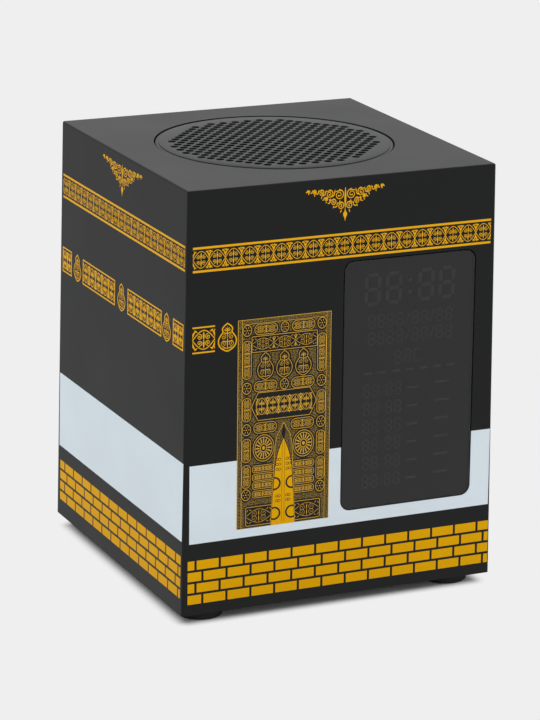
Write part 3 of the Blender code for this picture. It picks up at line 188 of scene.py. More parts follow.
def new_surface(name):
    """A new material with its node tree and its shader."""
    surface = bpy.data.materials.new(name)
    surface.use_nodes = True
    return surface, surface.node_tree, surface.node_tree.nodes["Principled BSDF"]


def moulded(name, shade, roughness, level, grain_mm, grain_depth_mm):
    """Moulded plastic or rubber: an even, slightly cloudy colour and the mould's own fine texture.

    A mould's real texture of about 0.1 mm is too fine to show, so its grain is drawn 0.25 mm wide or more.
    """
    surface, tree, shader = new_surface(name)
    shader.inputs["Specular IOR Level"].default_value = level
    place = add_node(tree, "ShaderNodeTexCoord")
    grain = add_node(tree, "ShaderNodeTexNoise", inputs={
        "Vector": place.outputs["Object"], "Scale": 1000 / grain_mm, "Detail": 3.0, "Roughness": 0.6})
    patches = add_node(tree, "ShaderNodeTexNoise", inputs={
        "Vector": place.outputs["Object"], "Scale": 45.0, "Detail": 2.0})
    tint = add_node(tree, "ShaderNodeMix", {"data_type": "RGBA"}, {
        0: patches.outputs[0], 6: linear(shade), 7: [*(1.12 * c for c in linear(shade)[:3]), 1.0]})
    gloss = add_node(tree, "ShaderNodeMapRange", inputs={
        "Value": patches.outputs[0], "To Min": roughness - 0.03, "To Max": roughness + 0.03})
    relief = add_node(tree, "ShaderNodeBump", inputs={
        "Strength": 0.5, "Distance": grain_depth_mm / 1000, "Height": grain.outputs[0]})
    tree.links.new(tint.outputs[2], shader.inputs["Base Color"])
    tree.links.new(gloss.outputs[0], shader.inputs["Roughness"])
    tree.links.new(relief.outputs[0], shader.inputs["Normal"])
    return surface


def wall(turn):
    """Frame of a leaning wall: across, up and out of it. 0 is the front, 1 the right, 2 the back."""
    angle = turn * math.pi / 2
    across = Vector((math.cos(angle), math.sin(angle), 0))
    outward = Vector((math.sin(angle), -math.cos(angle), 0))
    upright = Vector((0, 0, 1))
    rise = upright * math.cos(case_lean) - outward * math.sin(case_lean)
    out = outward * math.cos(case_lean) + upright * math.sin(case_lean)
    place = Matrix((across, rise, out)).transposed().to_4x4()
    place.translation = outward * base_width / 2 + upright * case_low.z
    return place


def rounded(width, height, radius, centre=(0, 0), steps=8):
    """Outline of a rectangle with round corners, anticlockwise."""
    points = []
    for quarter, (u, v) in enumerate(((1, 1), (-1, 1), (-1, -1), (1, -1))):
        for step in range(steps + 1):
            angle = math.pi / 2 * (quarter + step / steps)
            points.append((centre[0] + u * (width / 2 - radius) + radius * math.cos(angle),
                           centre[1] + v * (height / 2 - radius) + radius * math.sin(angle)))
    return points


def round_outline(diameter, sides, centre=(0, 0)):
    """Outline of a circle."""
    return [(centre[0] + diameter / 2 * math.cos(math.tau * side / sides),
             centre[1] + diameter / 2 * math.sin(math.tau * side / sides)) for side in range(sides)]


def stacked(mesh, rings):
    """Closes a stack of rings of points: a face at each end, and a band of faces between two rings."""
    mesh.faces.new(rings[0][::-1])
    mesh.faces.new(rings[-1])
    for lower, upper in zip(rings, rings[1:]):
        for index in range(len(lower)):
            after = (index + 1) % len(lower)
            mesh.faces.new((lower[index], lower[after], upper[after], upper[index]))
    return mesh


def slab(outline, low, high, place=Matrix()):
    """An outline given thickness, as a mesh still being edited."""
    mesh = bmesh.new()
    return stacked(mesh, [[mesh.verts.new(place @ Vector((u, v, depth))) for u, v in outline]
                          for depth in (low, high)])


def leaning_block(low, high, inset, corner=0.0, edge=0.0):
    """A block that follows the case's leaning walls, its upright corners and its top edge rounded."""
    mesh = bmesh.new()
    rings = []
    for height in (low, high):
        half = base_width / 2 - inset - (height - case_low.z) * math.tan(case_lean)
        rings.append([mesh.verts.new((u * half, v * half, height)) for u, v in corner_signs])
    stacked(mesh, rings)
    if corner:
        upright = [e for e in mesh.edges if e.verts[0].co.z != e.verts[1].co.z]
        bmesh.ops.bevel(mesh, geom=upright, offset=corner, segments=8, profile=0.5, affect="EDGES")
        rim = [e for e in mesh.edges if min(vertex.co.z for vertex in e.verts) > high - seat_gap]
        bmesh.ops.bevel(mesh, geom=rim, offset=edge, segments=4, profile=0.5, affect="EDGES")
    return mesh


def piece(name, mesh, surface, body, replaced=(), place=Matrix(), sharp_deg=35):
    """An object of the lamp from an edited mesh, riding on its CAD body."""
    if isinstance(mesh, bmesh.types.BMesh):
        bmesh.ops.recalc_face_normals(mesh, faces=mesh.faces)
        data = bpy.data.meshes.new(name)
        mesh.to_mesh(data)
        mesh.free()
        data.shade_smooth()
        data.set_sharp_from_angle(angle=math.radians(sharp_deg))
    else:
        data = mesh
    if not data.materials:
        data.materials.append(surface)
    made = bpy.data.objects.new(name, data)
    made.matrix_world = place
    scene.collection.objects.link(made)
    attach(made, body)
    if replaced:
        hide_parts(*replaced)
    return made


def pierce(target, tools):
    """Cuts solid tools out of a piece, then evens the shading of its flat faces."""
    for tool in tools:
        data = bpy.data.meshes.new("tool")
        bmesh.ops.recalc_face_normals(tool, faces=tool.faces)
        tool.to_mesh(data)
        tool.free()
        cutter = bpy.data.objects.new("tool", data)
        scene.collection.objects.link(cutter)
        modifier = target.modifiers.new("cut", "BOOLEAN")
        modifier.operation, modifier.solver, modifier.object = "DIFFERENCE", "EXACT", cutter
    even = target.modifiers.new("even", "WEIGHTED_NORMAL")
    even.keep_sharp = True
    bpy.context.view_layer.update()
    cut_mesh = bpy.data.meshes.new_from_object(target.evaluated_get(bpy.context.evaluated_depsgraph_get()))
    cutters = [modifier.object for modifier in target.modifiers if modifier.type == "BOOLEAN"]
    target.modifiers.clear()
    target.data = cut_mesh
    for cutter in cutters:
        bpy.data.objects.remove(cutter, do_unlink=True)


front, back = wall(0), wall(2)
lens_width, lens_height, lens_corner = 0.048, 0.0852, 0.0033
lens_centre = (0.0244, 0.0294 + lens_height / 2)
lens_ledge = 0.003
lens_seat = 0.0023
panel_width, panel_height, panel_corner = 0.076, 0.030, 0.003
panel_centre = (0, 0.042)
panel_seat = 0.0023
panel_ledge_x, panel_ledge_z = 0.0065, 0.003
grille_diameter, grille_thickness, grille_groove = 0.0806, 0.0017, 0.0004
speaker_opening = 0.073
lens_hole = rounded(lens_width + 2 * seat_gap, lens_height + 2 * seat_gap, lens_corner + seat_gap,
                    lens_centre)
panel_hole = rounded(panel_width + 2 * seat_gap, panel_height + 2 * seat_gap, panel_corner + seat_gap,
                     panel_centre)
groove_sides, bore_sides = 160, 64

black_abs = moulded("moulded_black_abs", "#181919", 0.5, 0.175, 0.35, 0.012)
shell = piece("case_shell", leaning_block(case_low.z, case_high.z, 0, case_corner, case_edge), black_abs,
              "case", ["outer_shell"])
pierce(shell, [
    leaning_block(case_low.z - case_wall, case_high.z - case_roof, case_wall),
    slab(lens_hole, -lens_seat, case_wall, front),
    slab(rounded(lens_width - 2 * lens_ledge, lens_height - 2 * lens_ledge, lens_ledge / 4, lens_centre),
         -2 * case_wall, 0, front),
    slab(panel_hole, -panel_seat, case_wall, back),
    slab(rounded(panel_width - 2 * panel_ledge_x, panel_height - 2 * panel_ledge_z, panel_ledge_z / 4,
                 panel_centre), -2 * case_wall, 0, back),
    slab(round_outline(grille_diameter + 2 * grille_groove, groove_sides),
         case_high.z - grille_thickness - seat_gap, case_high.z + case_wall),
    slab(round_outline(speaker_opening, bore_sides), case_high.z - 2 * case_roof, case_high.z),
])

# Prints: screen-printed inks, laid on the four finished walls of the shell. They are dull
# golden yellow and a cold white, each a film of a few hundredths of a millimetre that
# follows the shell's own texture. The ornament is drawn as scrolls, leaves and rosettes.
ink_thickness = 0.00003


class PrintScreen:
    """A printing screen in millimetres about its own middle; its field is below zero where ink passes."""

    def __init__(self, width, height, mesh_step):
        self.step = mesh_step
        self.across = np.arange(-width / 2, width / 2 + mesh_step / 2, mesh_step)
        self.up = np.arange(-height / 2, height / 2 + mesh_step / 2, mesh_step)
        self.field = np.full((len(self.up), len(self.across)), 1.0)

    def blank(self):
        """An unopened screen of the same size."""
        other = PrintScreen(0, 0, self.step)
        other.across, other.up = self.across, self.up
        other.field = np.full_like(self.field, 1.0)
        return other

    def stroke(self, points, widths):
        """Opens a line of changing width through points."""
        for (x0, y0), (x1, y1), w0, w1 in zip(points, points[1:], widths, widths[1:]):
            reach = max(w0, w1) / 2 + 1
            columns = slice(*np.searchsorted(self.across, (min(x0, x1) - reach, max(x0, x1) + reach)))
            rows = slice(*np.searchsorted(self.up, (min(y0, y1) - reach, max(y0, y1) + reach)))
            x = self.across[columns][None, :] - x0
            y = self.up[rows][:, None] - y0
            run, climb = x1 - x0, y1 - y0
            share = np.clip((x * run + y * climb) / max(run * run + climb * climb, 1e-9), 0, 1)
            away = np.hypot(x - share * run, y - share * climb) - (w0 + (w1 - w0) * share) / 2
            self.field[rows, columns] = np.minimum(self.field[rows, columns], away)

    def disc(self, x, y, radius):
        """Distance outside a circle."""
        return np.hypot(self.across[None, :] - x, self.up[:, None] - y) - radius

    def box(self, x, y, width, height, corner=0.0):
        """Distance outside a rectangle with round corners."""
        over_x = np.abs(self.across[None, :] - x) - width / 2 + corner
        over_y = np.abs(self.up[:, None] - y) - height / 2 + corner
        outside = np.hypot(np.maximum(over_x, 0), np.maximum(over_y, 0))
        return outside + np.minimum(np.maximum(over_x, over_y), 0) - corner

    def outlined(self, points):
        """Distance outside a closed outline, near it."""
        line = self.blank()
        line.stroke([*points, points[0]], [0] * (len(points) + 1))
        inside = np.zeros(self.field.shape, bool)
        x, y = self.across[None, :], self.up[:, None]
        for (x0, y0), (x1, y1) in zip(points, points[1:] + points[:1]):
            if y0 != y1:
                crossing = x0 + (y - y0) * (x1 - x0) / (y1 - y0)
                inside ^= (y >= min(y0, y1)) & (y < max(y0, y1)) & (x < crossing)
        return np.where(inside, -line.field, line.field)

    def add(self, distance):
        """Opens a shape."""
        self.field = np.minimum(self.field, distance)

    def clear(self, distance):
        """Blocks a shape."""
        self.field = np.maximum(self.field, -distance)

    def outlines(self):
        """Closed outlines round all the ink, in metres, with the ink on their left."""
        field = np.pad(self.field, 1, constant_values=1.0)
        rows, columns = field.shape
        ink = field < 0
        corners = (ink[:-1, :-1] + 2 * ink[:-1, 1:] + 4 * ink[1:, 1:] + 8 * ink[1:, :-1]).astype(int)
        middle = (field[:-1, :-1] + field[:-1, 1:] + field[1:, 1:] + field[1:, :-1]) < 0
        corners[(corners == 5) & middle] = 16
        corners[(corners == 10) & middle] = 17
        steps = {1: "BL", 2: "RB", 4: "TR", 8: "LT", 3: "RL", 6: "TB", 12: "LR", 9: "BT", 7: "TL",
                 14: "LB", 13: "BR", 11: "RT", 5: "BLTR", 10: "RBLT", 16: "TLBR", 17: "LBRT"}
        after = np.full(2 * rows * columns, -1)
        for case, route in steps.items():
            i, j = np.nonzero(corners == case)
            edge = {"B": i * columns + j, "T": (i + 1) * columns + j,
                    "L": rows * columns + i * columns + j, "R": rows * columns + i * columns + j + 1}
            for start in range(0, len(route), 2):
                after[edge[route[start]]] = edge[route[start + 1]]
        used = np.nonzero(after >= 0)[0]
        level = used < rows * columns
        at = used % (rows * columns)
        i, j = at // columns, at % columns
        here = field[i, j]
        there = field[np.where(level, i, i + 1), np.where(level, j + 1, j)]
        share = here / (here - there)
        x = (self.across[0] + (j - 1 + np.where(level, share, 0)) * self.step) / 1000
        y = (self.up[0] + (i - 1 + np.where(level, 0, share)) * self.step) / 1000
        place = dict(zip(used.tolist(), zip(x.tolist(), y.tolist())))
        after = after.tolist()
        loops = []
        left = dict.fromkeys(used.tolist())
        while left:
            start, _ = left.popitem()
            loop = [place[start]]
            at = after[start]
            while at != start:
                left.pop(at)
                loop.append(place[at])
                at = after[at]
            loop = thinned(loop)
            if len(loop) > 2:
                loops.append(loop)
        return loops


def thinned(loop, sag=0.000008, sharpest=0.6):
    """An outline with only the points that its bends need."""
    kept = []
    turned, run, heading = 0.0, 0.0, None
    for (x0, y0), (x1, y1) in zip(loop, loop[1:] + loop[:1]):
        length = math.hypot(x1 - x0, y1 - y0)
        if length < 1e-7:
            continue
        new_heading = math.atan2(y1 - y0, x1 - x0)
        if heading is not None:
            turned += (new_heading - heading + math.pi) % math.tau - math.pi
        heading = new_heading
        if not kept or abs(turned) > sharpest or abs(turned) * run > 8 * sag:
            kept.append((x0, y0))
            turned, run = 0.0, 0.0
        run += length
    return kept


def ink_film(name, loops, thickness=ink_thickness):
    """A closed film of ink inside the given outlines, as a mesh."""
    points, faces = [], []
    for loop in loops:
        area = sum(x0 * y1 - x1 * y0 for (x0, y0), (x1, y1) in zip(loop, loop[1:] + loop[:1]))
        start = len(points)
        points += [Vector(point) * 1000 for point in loop]
        indexes = list(range(start, len(points)))
        faces.append(indexes if area > 0 else indexes[::-1])
    flat, _, triangles, _, _, inside = delaunay_2d_cdt(points, [], faces, 1, 1e-5)
    kept = np.array([triangle for triangle, owners in zip(triangles, inside) if len(owners) % 2])
    count = len(flat)
    sides = np.concatenate([kept[:, (0, 1)], kept[:, (1, 2)], kept[:, (2, 0)]])
    key = np.sort(sides, axis=1)
    _, first, times = np.unique(key[:, 0] * count + key[:, 1], return_index=True, return_counts=True)
    rim = sides[first[times == 1]]
    walls = np.stack([rim[:, 1], rim[:, 0], rim[:, 0] + count, rim[:, 1] + count], axis=1)
    data = bpy.data.meshes.new(name)
    levels = [(point[0] / 1000, point[1] / 1000, depth)
              for depth in (thickness, -thickness) for point in flat]
    data.from_pydata(levels, [], kept.tolist() + (kept[:, ::-1] + count).tolist() + walls.tolist())
    used = {index for face in data.polygons for index in face.vertices}
    if len(used) < len(data.vertices):
        mesh = bmesh.new()
        mesh.from_mesh(data)
        loose = [vertex for vertex in mesh.verts if not vertex.link_faces]
        bmesh.ops.delete(mesh, geom=loose, context="VERTS")
        mesh.to_mesh(data)
        mesh.free()
    return data


def spiral(screen, x, y, radius, start, turns, hand, thick, thin):
    """A stem that curls in to a round bud."""
    count = int(12 * turns)
    points, widths = [], []
    for step in range(count + 1):
        share = step / count
        reach = radius * (1 - 0.8 * share)
        angle = start + hand * math.tau * turns * share
        points.append((x + reach * math.cos(angle), y + reach * math.sin(angle)))
        widths.append(thick + (thin - thick) * share)
    screen.stroke(points, widths)
    screen.stroke([points[-1], points[-1]], [thick * 1.7, thick * 1.7])
    return points


def leaf(screen, x, y, heading, length, width, bend=0.0):
    """A pointed leaf that may bend to one side."""
    points, widths = [], []
    for step in range(9):
        share = step / 8
        angle = heading + bend * share
        points.append((x + length * share * math.cos(angle), y + length * share * math.sin(angle)))
        widths.append(max(width * math.sin(math.pi * min(share * 0.9 + 0.08, 1)) ** 1.2, 0.06))
    screen.stroke(points, widths)


def running_scroll(screen, left, right, middle, height, period, thick):
    """Two waving stems that cross, with curls, leaves and buds in every hollow between them."""
    waves = max(int(round((right - left) / period)), 1)
    period = (right - left) / waves
    swing = height * 0.4
    for hand in (-1, 1):
        stem = [(left + step * period / 12, middle + hand * swing * math.sin(math.pi * step / 12))
                for step in range(waves * 12 + 1)]
        screen.stroke(stem, [thick] * len(stem))
    for wave in range(waves):
        x = left + (wave + 0.5) * period
        for up in (-1, 1):
            for side in (-1, 1):
                spiral(screen, x + side * period * 0.19, middle + up * height * 0.13, period * 0.125,
                       math.pi / 2 * up, 1.3, side * up, thick * 0.9, thick * 0.7)
                leaf(screen, x + side * period * 0.5, middle + up * height * 0.06,
                     math.pi / 2 * up - side * up * 0.1, height * 0.4, thick * 2.0, side * up * 0.55)
                leaf(screen, x + side * period * 0.28, middle + up * height * 0.34,
                     math.pi / 2 * up - side * up * 1.35, height * 0.17, thick * 1.5, side * up * 0.4)
            leaf(screen, x, middle, math.pi / 2 * up, height * 0.36, thick * 2.1)
            spiral(screen, x + period / 2, middle + up * height * 0.37, period * 0.055, 0, 0.6, 1,
                   thick, thick)


# Neither ink is metallic, so the gold keeps the same yellow from every side.
gold_ink = moulded("screen_printed_gold_ink", "#eeb00c", 0.5, 0.1, 0.35, 0.012)
white_ink = moulded("screen_printed_white_ink", "#dfebf3", 0.5, 0.15, 0.35, 0.012)


def printed(name, data, ink, turn, across_mm, up_mm):
    """Lays a film of ink on one wall, its middle at a place across and up the wall."""
    place = wall(turn) @ Matrix.Translation((across_mm / 1000, up_mm / 1000, 0))
    return piece(name, data, ink, "case", place=place)


wall_names = ("front", "right", "back", "left")

# Brick course: four rows of flat golden bricks round the foot of the case, printed in a
# deeper yellow than the ornament. The black shell shows between them as the mortar.
mortar_mm = 0.84
brick_gold = moulded("screen_printed_deep_gold_ink", "#e6aa00", 0.5, 0.06, 0.35, 0.012)

# Left end, right end, middle height, pitch of bricks and of rows, and the first joint in even
# and in odd rows. The front's print differs a little from the other three walls'.
front_bricks = (-54.9, 56.2, 11.3, 8.66, 3.96, (4.85, 2.38))
other_bricks = (-54.0, 55.3, 13.15, 8.39, 3.88, (6.2, 4.0))


def brick_rows(left, right, pitch, rise, first_joints):
    """Outlines of four rows of bricks between two ends, in metres."""
    loops = []
    for row in range(4):
        low = (row - 2) * rise + mortar_mm / 2
        high = low + rise - mortar_mm
        joint = left + first_joints[row % 2]
        start = left
        while start < right - mortar_mm / 2:
            end = min(joint, right)
            brick = ((start, low), (end, low), (end, high), (start, high))
            loops.append([(x / 1000, y / 1000) for x, y in brick])
            start = joint + mortar_mm
            joint += pitch
    return loops


for turn, (left, right, middle, *bond) in enumerate((front_bricks, *(other_bricks,) * 3)):
    printed(f"brick_course_{wall_names[turn]}", ink_film("brick_course", brick_rows(left, right, *bond)),
            brick_gold, turn, 0, middle)

# Pale course: a plain cold-white field above the bricks, left open where the curtain, the
# display and the control panel reach down into it.
white_low, white_high = 0.02465, 0.05145
curtain_width, curtain_height, curtain_centre = 0.0334, 0.0712, (-0.0209, 0.0632)


def course(left, right, rise=0.0, notches=()):
    """Outline of the course, with notches in its upper edge given from right to left."""
    low, high = white_low + rise, white_high + rise
    outline = [(left, low), (right, low), (right, high)]
    for notch in notches:
        below = [point for point in notch if point[1] < high][::-1]
        outline += [(below[0][0], high), *below, (below[-1][0], high)]
    return [outline + [(left, high)]]


curtain_hole = [(curtain_centre[0] + u * curtain_width / 2, curtain_centre[1] + v * curtain_height / 2)
                for u, v in ((1, 1), (-1, 1), (-1, -1), (1, -1))]
front_course, other_course = (-0.0544, 0.0559), (-0.055, 0.0559, 0.001)
courses = (course(*front_course, notches=(lens_hole, curtain_hole)), course(*other_course),
           course(*other_course, notches=(panel_hole,)), course(*other_course))
for turn, loops in enumerate(courses):
    printed(f"pale_course_{wall_names[turn]}", ink_film("pale_course", loops), white_ink, turn, 0, 0)

# Ornament band: a running scroll between two lines, printed in gold ink high on all four
# walls, its stems crossing like plaited cord.
band_width_mm, band_height_mm, band_line_mm = 107.5, 8.42, 0.74
band_period_mm, band_stem_mm = 5.6, 0.22
band_places_mm = ((0.2, 120.3), *((0.35, 120.6),) * 3)
screen_margin_mm = 0.4
band = PrintScreen(band_width_mm + screen_margin_mm, band_height_mm + screen_margin_mm, 0.08)
running_scroll(band, -band_width_mm / 2, band_width_mm / 2, 0, band_height_mm - 2 * band_line_mm,
               band_period_mm, band_stem_mm)
band.clear(-band.box(0, 0, band_width_mm, band_height_mm))
for side in (-1, 1):
    band.add(band.box(0, side * (band_height_mm - band_line_mm) / 2, band_width_mm, band_line_mm))
band_film = ink_film("ornament_band", band.outlines())
for turn, band_place in enumerate(band_places_mm):
    printed(f"ornament_band_{wall_names[turn]}", band_film, gold_ink, turn, *band_place)

# Frieze: framed panels of scroll work with gourd-shaped medallions between them, round the
# middle of the case. The display and the curtain leave room for only two of them in front.
frieze_height_mm, frieze_line_mm = 8.9, 0.5
frieze_period_mm, frieze_stem_mm = 5.4, 0.31
gourd_height_mm, gourd_line_mm, gourd_stem_mm = 9.8, 0.42, 0.19
gourd_width_shares = ((0, 0), (0.02, 0.1), (0.1, 0.31), (0.2, 0.44), (0.3, 0.49), (0.4, 0.5),
                      (0.5, 0.455), (0.6, 0.36), (0.66, 0.28), (0.7, 0.265), (0.77, 0.295),
                      (0.83, 0.28), (0.9, 0.2), (1, 0))


def gourd(x, y, width, height):
    """Outline of a medallion with a round body, a smaller head and a point at each end."""
    right = [(x + across * width, y + (rise - 0.5) * height) for rise, across in gourd_width_shares]
    return right + [(2 * x - u, v) for u, v in right[-2:0:-1]]


def medallion(screen, x, y, width, height, line, thick):
    """A gourd-shaped frame with curled stems and leaves inside it."""
    shape = screen.outlined(gourd(x, y, width, height))
    screen.add(np.abs(shape + line / 2) - line / 2)
    inside = screen.blank()
    for side in (-1, 1):
        for u, v, size in ((0.24, -0.22, 0.16), (0.2, 0.02, 0.14), (0.1, 0.26, 0.09)):
            spiral(inside, x + side * width * u, y + height * v, width * size, math.pi / 2, 1.3, side,
                   thick, thick * 0.8)
        for v, bend in ((-0.4, 0.9), (-0.16, 1.1), (0.1, 0.8)):
            leaf(inside, x, y + height * v, math.pi / 2 + side * bend, width * 0.34, thick * 1.8,
                 side * 0.5)
    leaf(inside, x, y - height * 0.42, math.pi / 2, height * 0.45, thick * 2.0)
    leaf(inside, x, y - height * 0.02, math.pi / 2, height * 0.4, thick * 1.8)
    screen.add(np.maximum(inside.field, shape + line + 0.1))


def scroll_panel(screen, x, y, width, height, ends):
    """Scroll work between two lines, with or without lines at its ends."""
    layer = screen.blank()
    running_scroll(layer, x - width / 2, x + width / 2, y, height - 2 * frieze_line_mm,
                   frieze_period_mm, frieze_stem_mm)
    screen.add(np.maximum(layer.field, screen.box(x, y, width, height)))
    for side in (-1, 1):
        screen.add(screen.box(x, y + side * (height - frieze_line_mm) / 2, width, frieze_line_mm))
        if ends:
            screen.add(screen.box(x + side * (width - frieze_line_mm) / 2, y, frieze_line_mm, height))


front_frieze = PrintScreen(17, 10.4, 0.06)
scroll_panel(front_frieze, -4.25, 0, 7.9, frieze_height_mm, False)
medallion(front_frieze, 4.1, 0, 6.8, gourd_height_mm, gourd_line_mm, gourd_stem_mm)
printed("frieze_front", ink_film("frieze_front", front_frieze.outlines()), gold_ink, 0, -45.4, 93.7)

side_frieze = PrintScreen(109, 10.4, 0.08)
for middle, width in ((-49.7, 8.6), (-20.2, 29.6), (20.5, 29.4), (49.0, 8.6)):
    scroll_panel(side_frieze, middle, 0, width, frieze_height_mm, True)
for middle in (-40.0, 0.4, 39.5):
    medallion(side_frieze, middle, 0, 6.9, gourd_height_mm, gourd_line_mm, gourd_stem_mm)
frieze_film = ink_film("frieze_side", side_frieze.outlines())
for turn in (1, 2, 3):
    printed(f"frieze_{wall_names[turn]}", frieze_film, gold_ink, turn, 0.6, 94.35)

# Pendant: a small triangle of scrolls and leaves that hangs under the top edge of each wall,
# in the same gold ink. It is wider and flatter on the other walls than on the front.
pendant = PrintScreen(30, 12.4, 0.06)

# Each curl's place, its radius and its turns, for one half of the pendant.
pendant_curls = ((2.2, 3.1, 1.75, 1.6), (5.7, 3.6, 1.4, 1.5), (8.6, 4.2, 1.05, 1.3), (11.1, 4.6, 0.75, 1.2),
                 (13.2, 4.9, 0.5, 1.0), (1.6, -0.6, 1.3, 1.4), (4.3, 0.8, 1.1, 1.3), (6.9, 2.0, 0.7, 1.1))
for side in (-1, 1):
    outward = math.pi * (side < 0)
    for x, y, radius, turns in pendant_curls:
        spiral(pendant, side * x, y, radius, math.pi / 2, turns, side, 0.34, 0.2)
        leaf(pendant, side * (x + radius * 0.9), y + radius * 0.2, outward - side * 0.9, radius * 1.2,
             0.42, side * 0.5)
        leaf(pendant, side * (x - radius * 0.2), y - radius, -math.pi / 2 + side * 0.3, radius * 0.9, 0.38)
        leaf(pendant, side * (x - radius * 0.4), y + radius * 0.7, outward + side * 0.25, radius * 1.5,
             0.36, side * -0.4)
        leaf(pendant, side * (x + radius), y, math.pi / 2 - side * 0.2, radius * 1.1, 0.34, side * 0.4)
    leaf(pendant, side * 0.15, -2.6, -math.pi / 2 + side * 0.75, 1.7, 0.4, side * -0.6)
    leaf(pendant, side * 0.1, -3.6, -math.pi / 2 + side * 0.6, 1.1, 0.32, side * -0.5)
leaf(pendant, 0, 5.4, -math.pi / 2, 7.2, 0.7)
leaf(pendant, 0, -1.6, -math.pi / 2, 4.2, 0.7)
side_stretch, side_squeeze = 1.22, 0.95
pendant_loops = pendant.outlines()
side_loops = [[(u * side_stretch, v * side_squeeze) for u, v in loop] for loop in pendant_loops]
pendant_prints = ((pendant_loops, (0.1, 134.3)), *((side_loops, (0.3, 134.5)),) * 3)
for turn, (loops, pendant_place) in enumerate(pendant_prints):
    printed(f"pendant_{wall_names[turn]}", ink_film("pendant", loops), gold_ink, turn, *pendant_place)

# Curtain: a tall panel in front that is printed like a gold-embroidered hanging. A ground of
# fine gold stitches comes first, then black round each framed field, then the gold frames
# and the scrolls and leaves inside them. Real stitches are finer, and are drawn 0.5 mm wide.
stitch_mm = 0.5
stitch_edge = 0.08


def stitched_gold(name, gold, ground, gold_reach):
    """Gold halftone on black: round gold stitches that merge to a dull olive at arm's length."""
    surface = moulded(name, ground, 0.5, 0.18, 0.35, 0.012)
    tree = surface.node_tree
    shader = tree.nodes["Principled BSDF"]
    place = add_node(tree, "ShaderNodeTexCoord")
    stitches = add_node(tree, "ShaderNodeTexVoronoi", inputs={
        "Vector": place.outputs["Object"], "Scale": 1000 / stitch_mm, "Randomness": 0.3})
    share = add_node(tree, "ShaderNodeMapRange", inputs={
        "Value": stitches.outputs["Distance"], "From Min": gold_reach - stitch_edge,
        "From Max": gold_reach + stitch_edge, "To Min": 1.0, "To Max": 0.0})
    under = shader.inputs["Base Color"].links[0].from_socket
    mixed = add_node(tree, "ShaderNodeMix", {"data_type": "RGBA"}, {
        0: share.outputs[0], 6: under, 7: linear(gold)})
    tree.links.new(mixed.outputs[2], shader.inputs["Base Color"])
    return surface


wide_mm, tall_mm = curtain_width * 1000, curtain_height * 1000
curtain_middle_mm = (curtain_centre[0] * 1000, curtain_centre[1] * 1000)
curtain_gold = PrintScreen(wide_mm + 0.2, tall_mm + 0.2, 0.07)
curtain_black = curtain_gold.blank()
moat_mm, frame_line_mm, scroll_line_mm, thread_stretch = 0.55, 0.2, 0.14, 1.2
frame_gap_mm = 0.35


def field(shape, filling=None):
    """A framed field of the curtain: black round it and in it, a gold frame, and what fills it."""
    curtain_black.add(shape - moat_mm)
    curtain_gold.add(np.abs(shape) - frame_line_mm / 2)
    if filling is not None:
        curtain_gold.add(np.maximum(filling.field, shape + frame_gap_mm))


def scroll_field(x, y, width, height, corner, upright=False):
    """A cartouche with scroll work along it."""
    filling = curtain_gold.blank()
    if upright:
        turned = PrintScreen(0, 0, curtain_gold.step)
        turned.across, turned.up = curtain_gold.up, curtain_gold.across
        turned.field = np.full((len(turned.up), len(turned.across)), 1.0)
        running_scroll(turned, y - height / 2, y + height / 2, x, width - 0.6, width * 1.4, scroll_line_mm)
        filling.field = turned.field.T
    else:
        running_scroll(filling, x - width / 2, x + width / 2, y, height - 0.6, height * 1.4,
                       scroll_line_mm)
    field(curtain_gold.box(x, y, width, height, corner), filling)


def rosette(x, y, diameter, petals):
    """A round field, a little taller than wide, with a ring of thin petals round a small flower."""
    filling = curtain_gold.blank()
    filling.up = y + (curtain_gold.up - y) / thread_stretch
    shape = filling.disc(x, y, diameter / 2)
    for petal in range(petals):
        angle = math.tau * petal / petals
        leaf(filling, x + diameter * 0.16 * math.cos(angle), y + diameter * 0.16 * math.sin(angle), angle,
             diameter * 0.27, diameter * 0.045 + 0.08)
    filling.add(filling.disc(x, y, diameter * 0.07))
    if diameter > 4:
        for reach in (0.15, 0.41):
            filling.add(np.abs(filling.disc(x, y, diameter * reach)) - 0.1)
    field(shape, filling)


border_mm = 1.6
column = wide_mm / 2 - 3.3
for side in (-1, 1):
    curtain_gold.add(curtain_gold.box(side * (wide_mm / 2 - border_mm), 0, 0.15, tall_mm))
    curtain_gold.add(curtain_gold.box(side * (wide_mm / 2 - 0.1), 0, 0.2, tall_mm))
    scroll_field(side * 6.7, 31.9, 8.1, 3.5, 1.7)
    for height in (31.9, 12.4, -1.7, -24.0):
        rosette(side * column, height, 3.1, 6)
    for height, reach in ((22.0, 12.8), (5.1, 7.9), (-8.8, 8.0), (-17.7, 7.8)):
        scroll_field(side * column, height, 3.0, reach, 1.3, True)
    for height in (12.6, -1.5):
        scroll_field(side * 6.7, height, 8.1, 3.5, 1.6)
    rosette(side * 7.2, -8.5, 7.5, 16)
    for height in (-15.5, -18.4, -21.2, -24.2):
        scroll_field(side * 7.3, height, 7.6, 2.3, 0.8)
    scroll_field(side * 8.7, -31.6, 9.4, 6.4, 0.5)
curtain_gold.add(curtain_gold.box(0, tall_mm / 2 - border_mm, wide_mm - 2 * border_mm, 0.15))
curtain_gold.add(curtain_gold.box(0, tall_mm / 2 - 0.1, wide_mm, 0.2))
rosette(0, 31.9, 2.8, 6)
rosette(0, 12.6, 2.9, 6)
scroll_field(0, 27.0, 23.4, 5.3, 0.3)
for middle in (-6.8, 0, 6.8):
    outline = gourd(middle, 19.4, 5.8, 9.4)
    curtain_black.add(curtain_gold.outlined(outline) - moat_mm)
    medallion(curtain_gold, middle, 19.4, 5.8, 9.4, frame_line_mm, scroll_line_mm)

